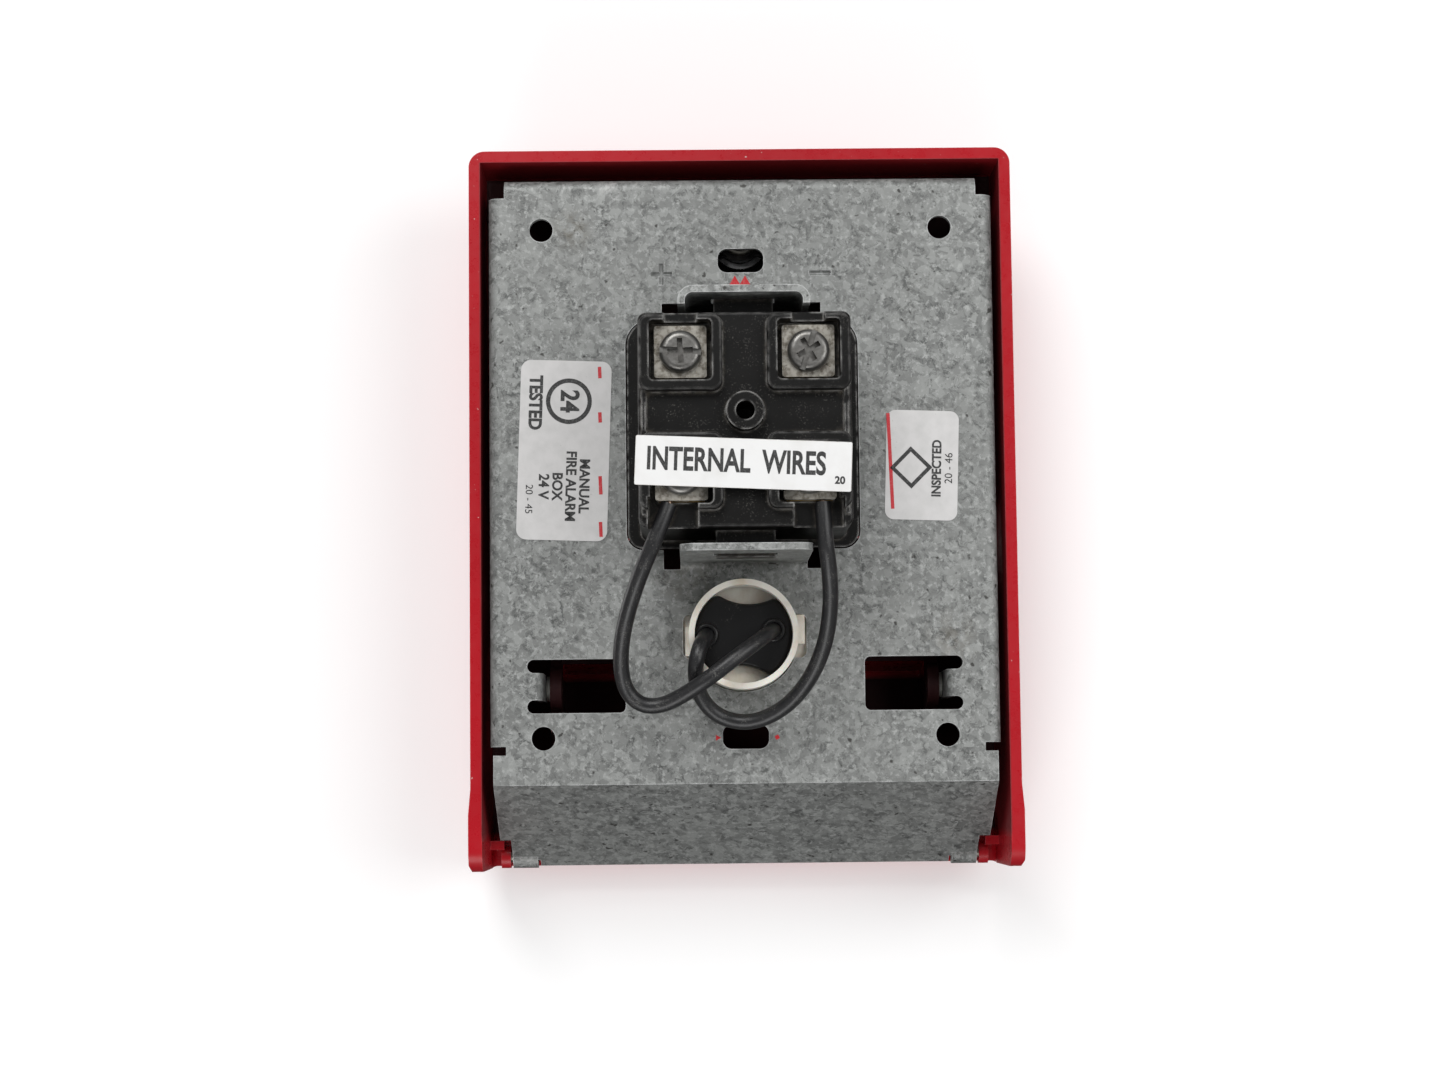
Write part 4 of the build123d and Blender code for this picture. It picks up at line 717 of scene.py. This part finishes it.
# The front is 17 mm out at the top of the cover, and further out below. The grip leans the other
# way, outwards at its top.
FIRE_Z, FIRE_SIZE = 17.0, 20.0
FRONT_AT_TOP = 17.0
PULL_Y, PULL_Z, PULL_SIZE, PULL_TIP = -31.45, -26.3, 9.0, 8.5
fire_y = FRONT_SLOPE * (FIRE_Z - cover_high.z / mm) - FRONT_AT_TOP
lettering(
    "letters_fire", "FIRE", 0, fire_y, FIRE_Z, FIRE_SIZE, 0, weight=0.25, finish=white, body="cover",
    depth=1.4, tip=-math.degrees(math.atan(FRONT_SLOPE)), from_front=True,
)
lettering(
    "letters_pull", "PULL  DOWN", 0, PULL_Y, PULL_Z, PULL_SIZE, 0, weight=0.12, finish=red_print,
    body="lever", depth=0.5, tip=PULL_TIP, from_front=True,
)

pad = Finish("striker rubber", (0.02, 0.02, 0.02), 0.75)
pad.grain(1500.0, 0.00003)
pad.done()
paint(["striker_pad"], pad.material)

# ---- Lock ---------------------------------------------------------------------------------------
# A chromed body and plug in the cover's boss. The washer, nut, cam and screw behind them have
# their finishes among the small steel parts.
chrome = Finish("chrome", (0.62, 0.62, 0.63), 0.12, 1.0)
chrome.roughen(spread(chrome.tree, noise(chrome.tree, chrome.place, 800.0, 5.0), 0.4, 0.8), 0.35)
chrome.done()
paint(["lock_body", "lock_plug"], chrome.material)

# ---- Floor and light ----------------------------------------------------------------------------
# The station lies on its face on a pale surface, just below its grip, under wide soft lamps. Only
# the camera sees the surface, and from behind it is clear.
FLOOR_GAP = 0.001
bpy.ops.object.select_all(action="DESELECT")
bpy.ops.mesh.primitive_plane_add(
    size=6, location=(0, cad_box[0][1] - FLOOR_GAP, 0), rotation=(math.radians(-90), 0, 0)
)
floor = bpy.context.object
floor.name = "floor"
paper = bpy.data.materials.new("white paper")
paper.use_nodes = True
tree = paper.node_tree
sheet = tree.nodes["Principled BSDF"]
sheet.inputs["Base Color"].default_value = (0.78, 0.78, 0.78, 1)
sheet.inputs["Roughness"].default_value = 0.9
sheet.inputs["Emission Color"].default_value = (1, 1, 1, 1)
sheet.inputs["Emission Strength"].default_value = 0.2
clear = tree.nodes.new("ShaderNodeBsdfTransparent")
which = tree.nodes.new("ShaderNodeMixShader")
tree.links.new(tree.nodes.new("ShaderNodeNewGeometry").outputs["Backfacing"], which.inputs[0])
tree.links.new(sheet.outputs[0], which.inputs[1])
tree.links.new(clear.outputs[0], which.inputs[2])
tree.links.new(which.outputs[0], tree.nodes["Material Output"].inputs[0])
floor.data.materials.append(paper)
for ray in ("diffuse", "glossy", "transmission", "shadow"):
    setattr(floor, f"visible_{ray}", False)


def lamp(name, place, size, watts):
    """A round lamp of that size in metres, turned towards the station."""
    bpy.ops.object.light_add(type="AREA", location=place)
    light = bpy.context.object
    light.name = name
    light.data.shape = "DISK"
    light.data.size = size
    light.data.energy = watts
    toward = [-a for a in place]
    flat = math.hypot(toward[0], toward[1])
    light.rotation_euler = (
        math.atan2(flat, -toward[2]), 0, math.atan2(toward[1], toward[0]) - math.pi / 2
    )


lamp("key", (0.25, 1.0, 0.75), 0.7, 8.5)
lamp("fill", (-0.7, 0.9, 0.1), 0.8, 4.5)
lamp("low", (0.15, 0.6, -0.9), 0.6, 3.5)
lamp("front_key", (-0.5, -1.0, 0.6), 0.8, 16)
lamp("front_fill", (0.8, -0.7, 0.0), 0.8, 6)

# A plain white glow from all round, weaker from the front and from straight behind.
world = bpy.data.worlds.new("studio")
world.use_nodes = True
sky = world.node_tree
way = add_node(sky, "SeparateXYZ", {0: add_node(sky, "TexCoord").outputs["Generated"]}).outputs[1]
all_round = spread(sky, way, -0.35, 0.3, 0.10, 0.46)
glow = math_node(sky, "SUBTRACT", all_round, spread(sky, way, 0.8, 0.97, 0.0, 0.28))
sky.links.new(glow, sky.nodes["Background"].inputs[1])
sky.nodes["Background"].inputs[0].default_value = (1, 1, 1, 1)
bpy.context.scene.world = world
bpy.context.scene.view_settings.view_transform = "Standard"
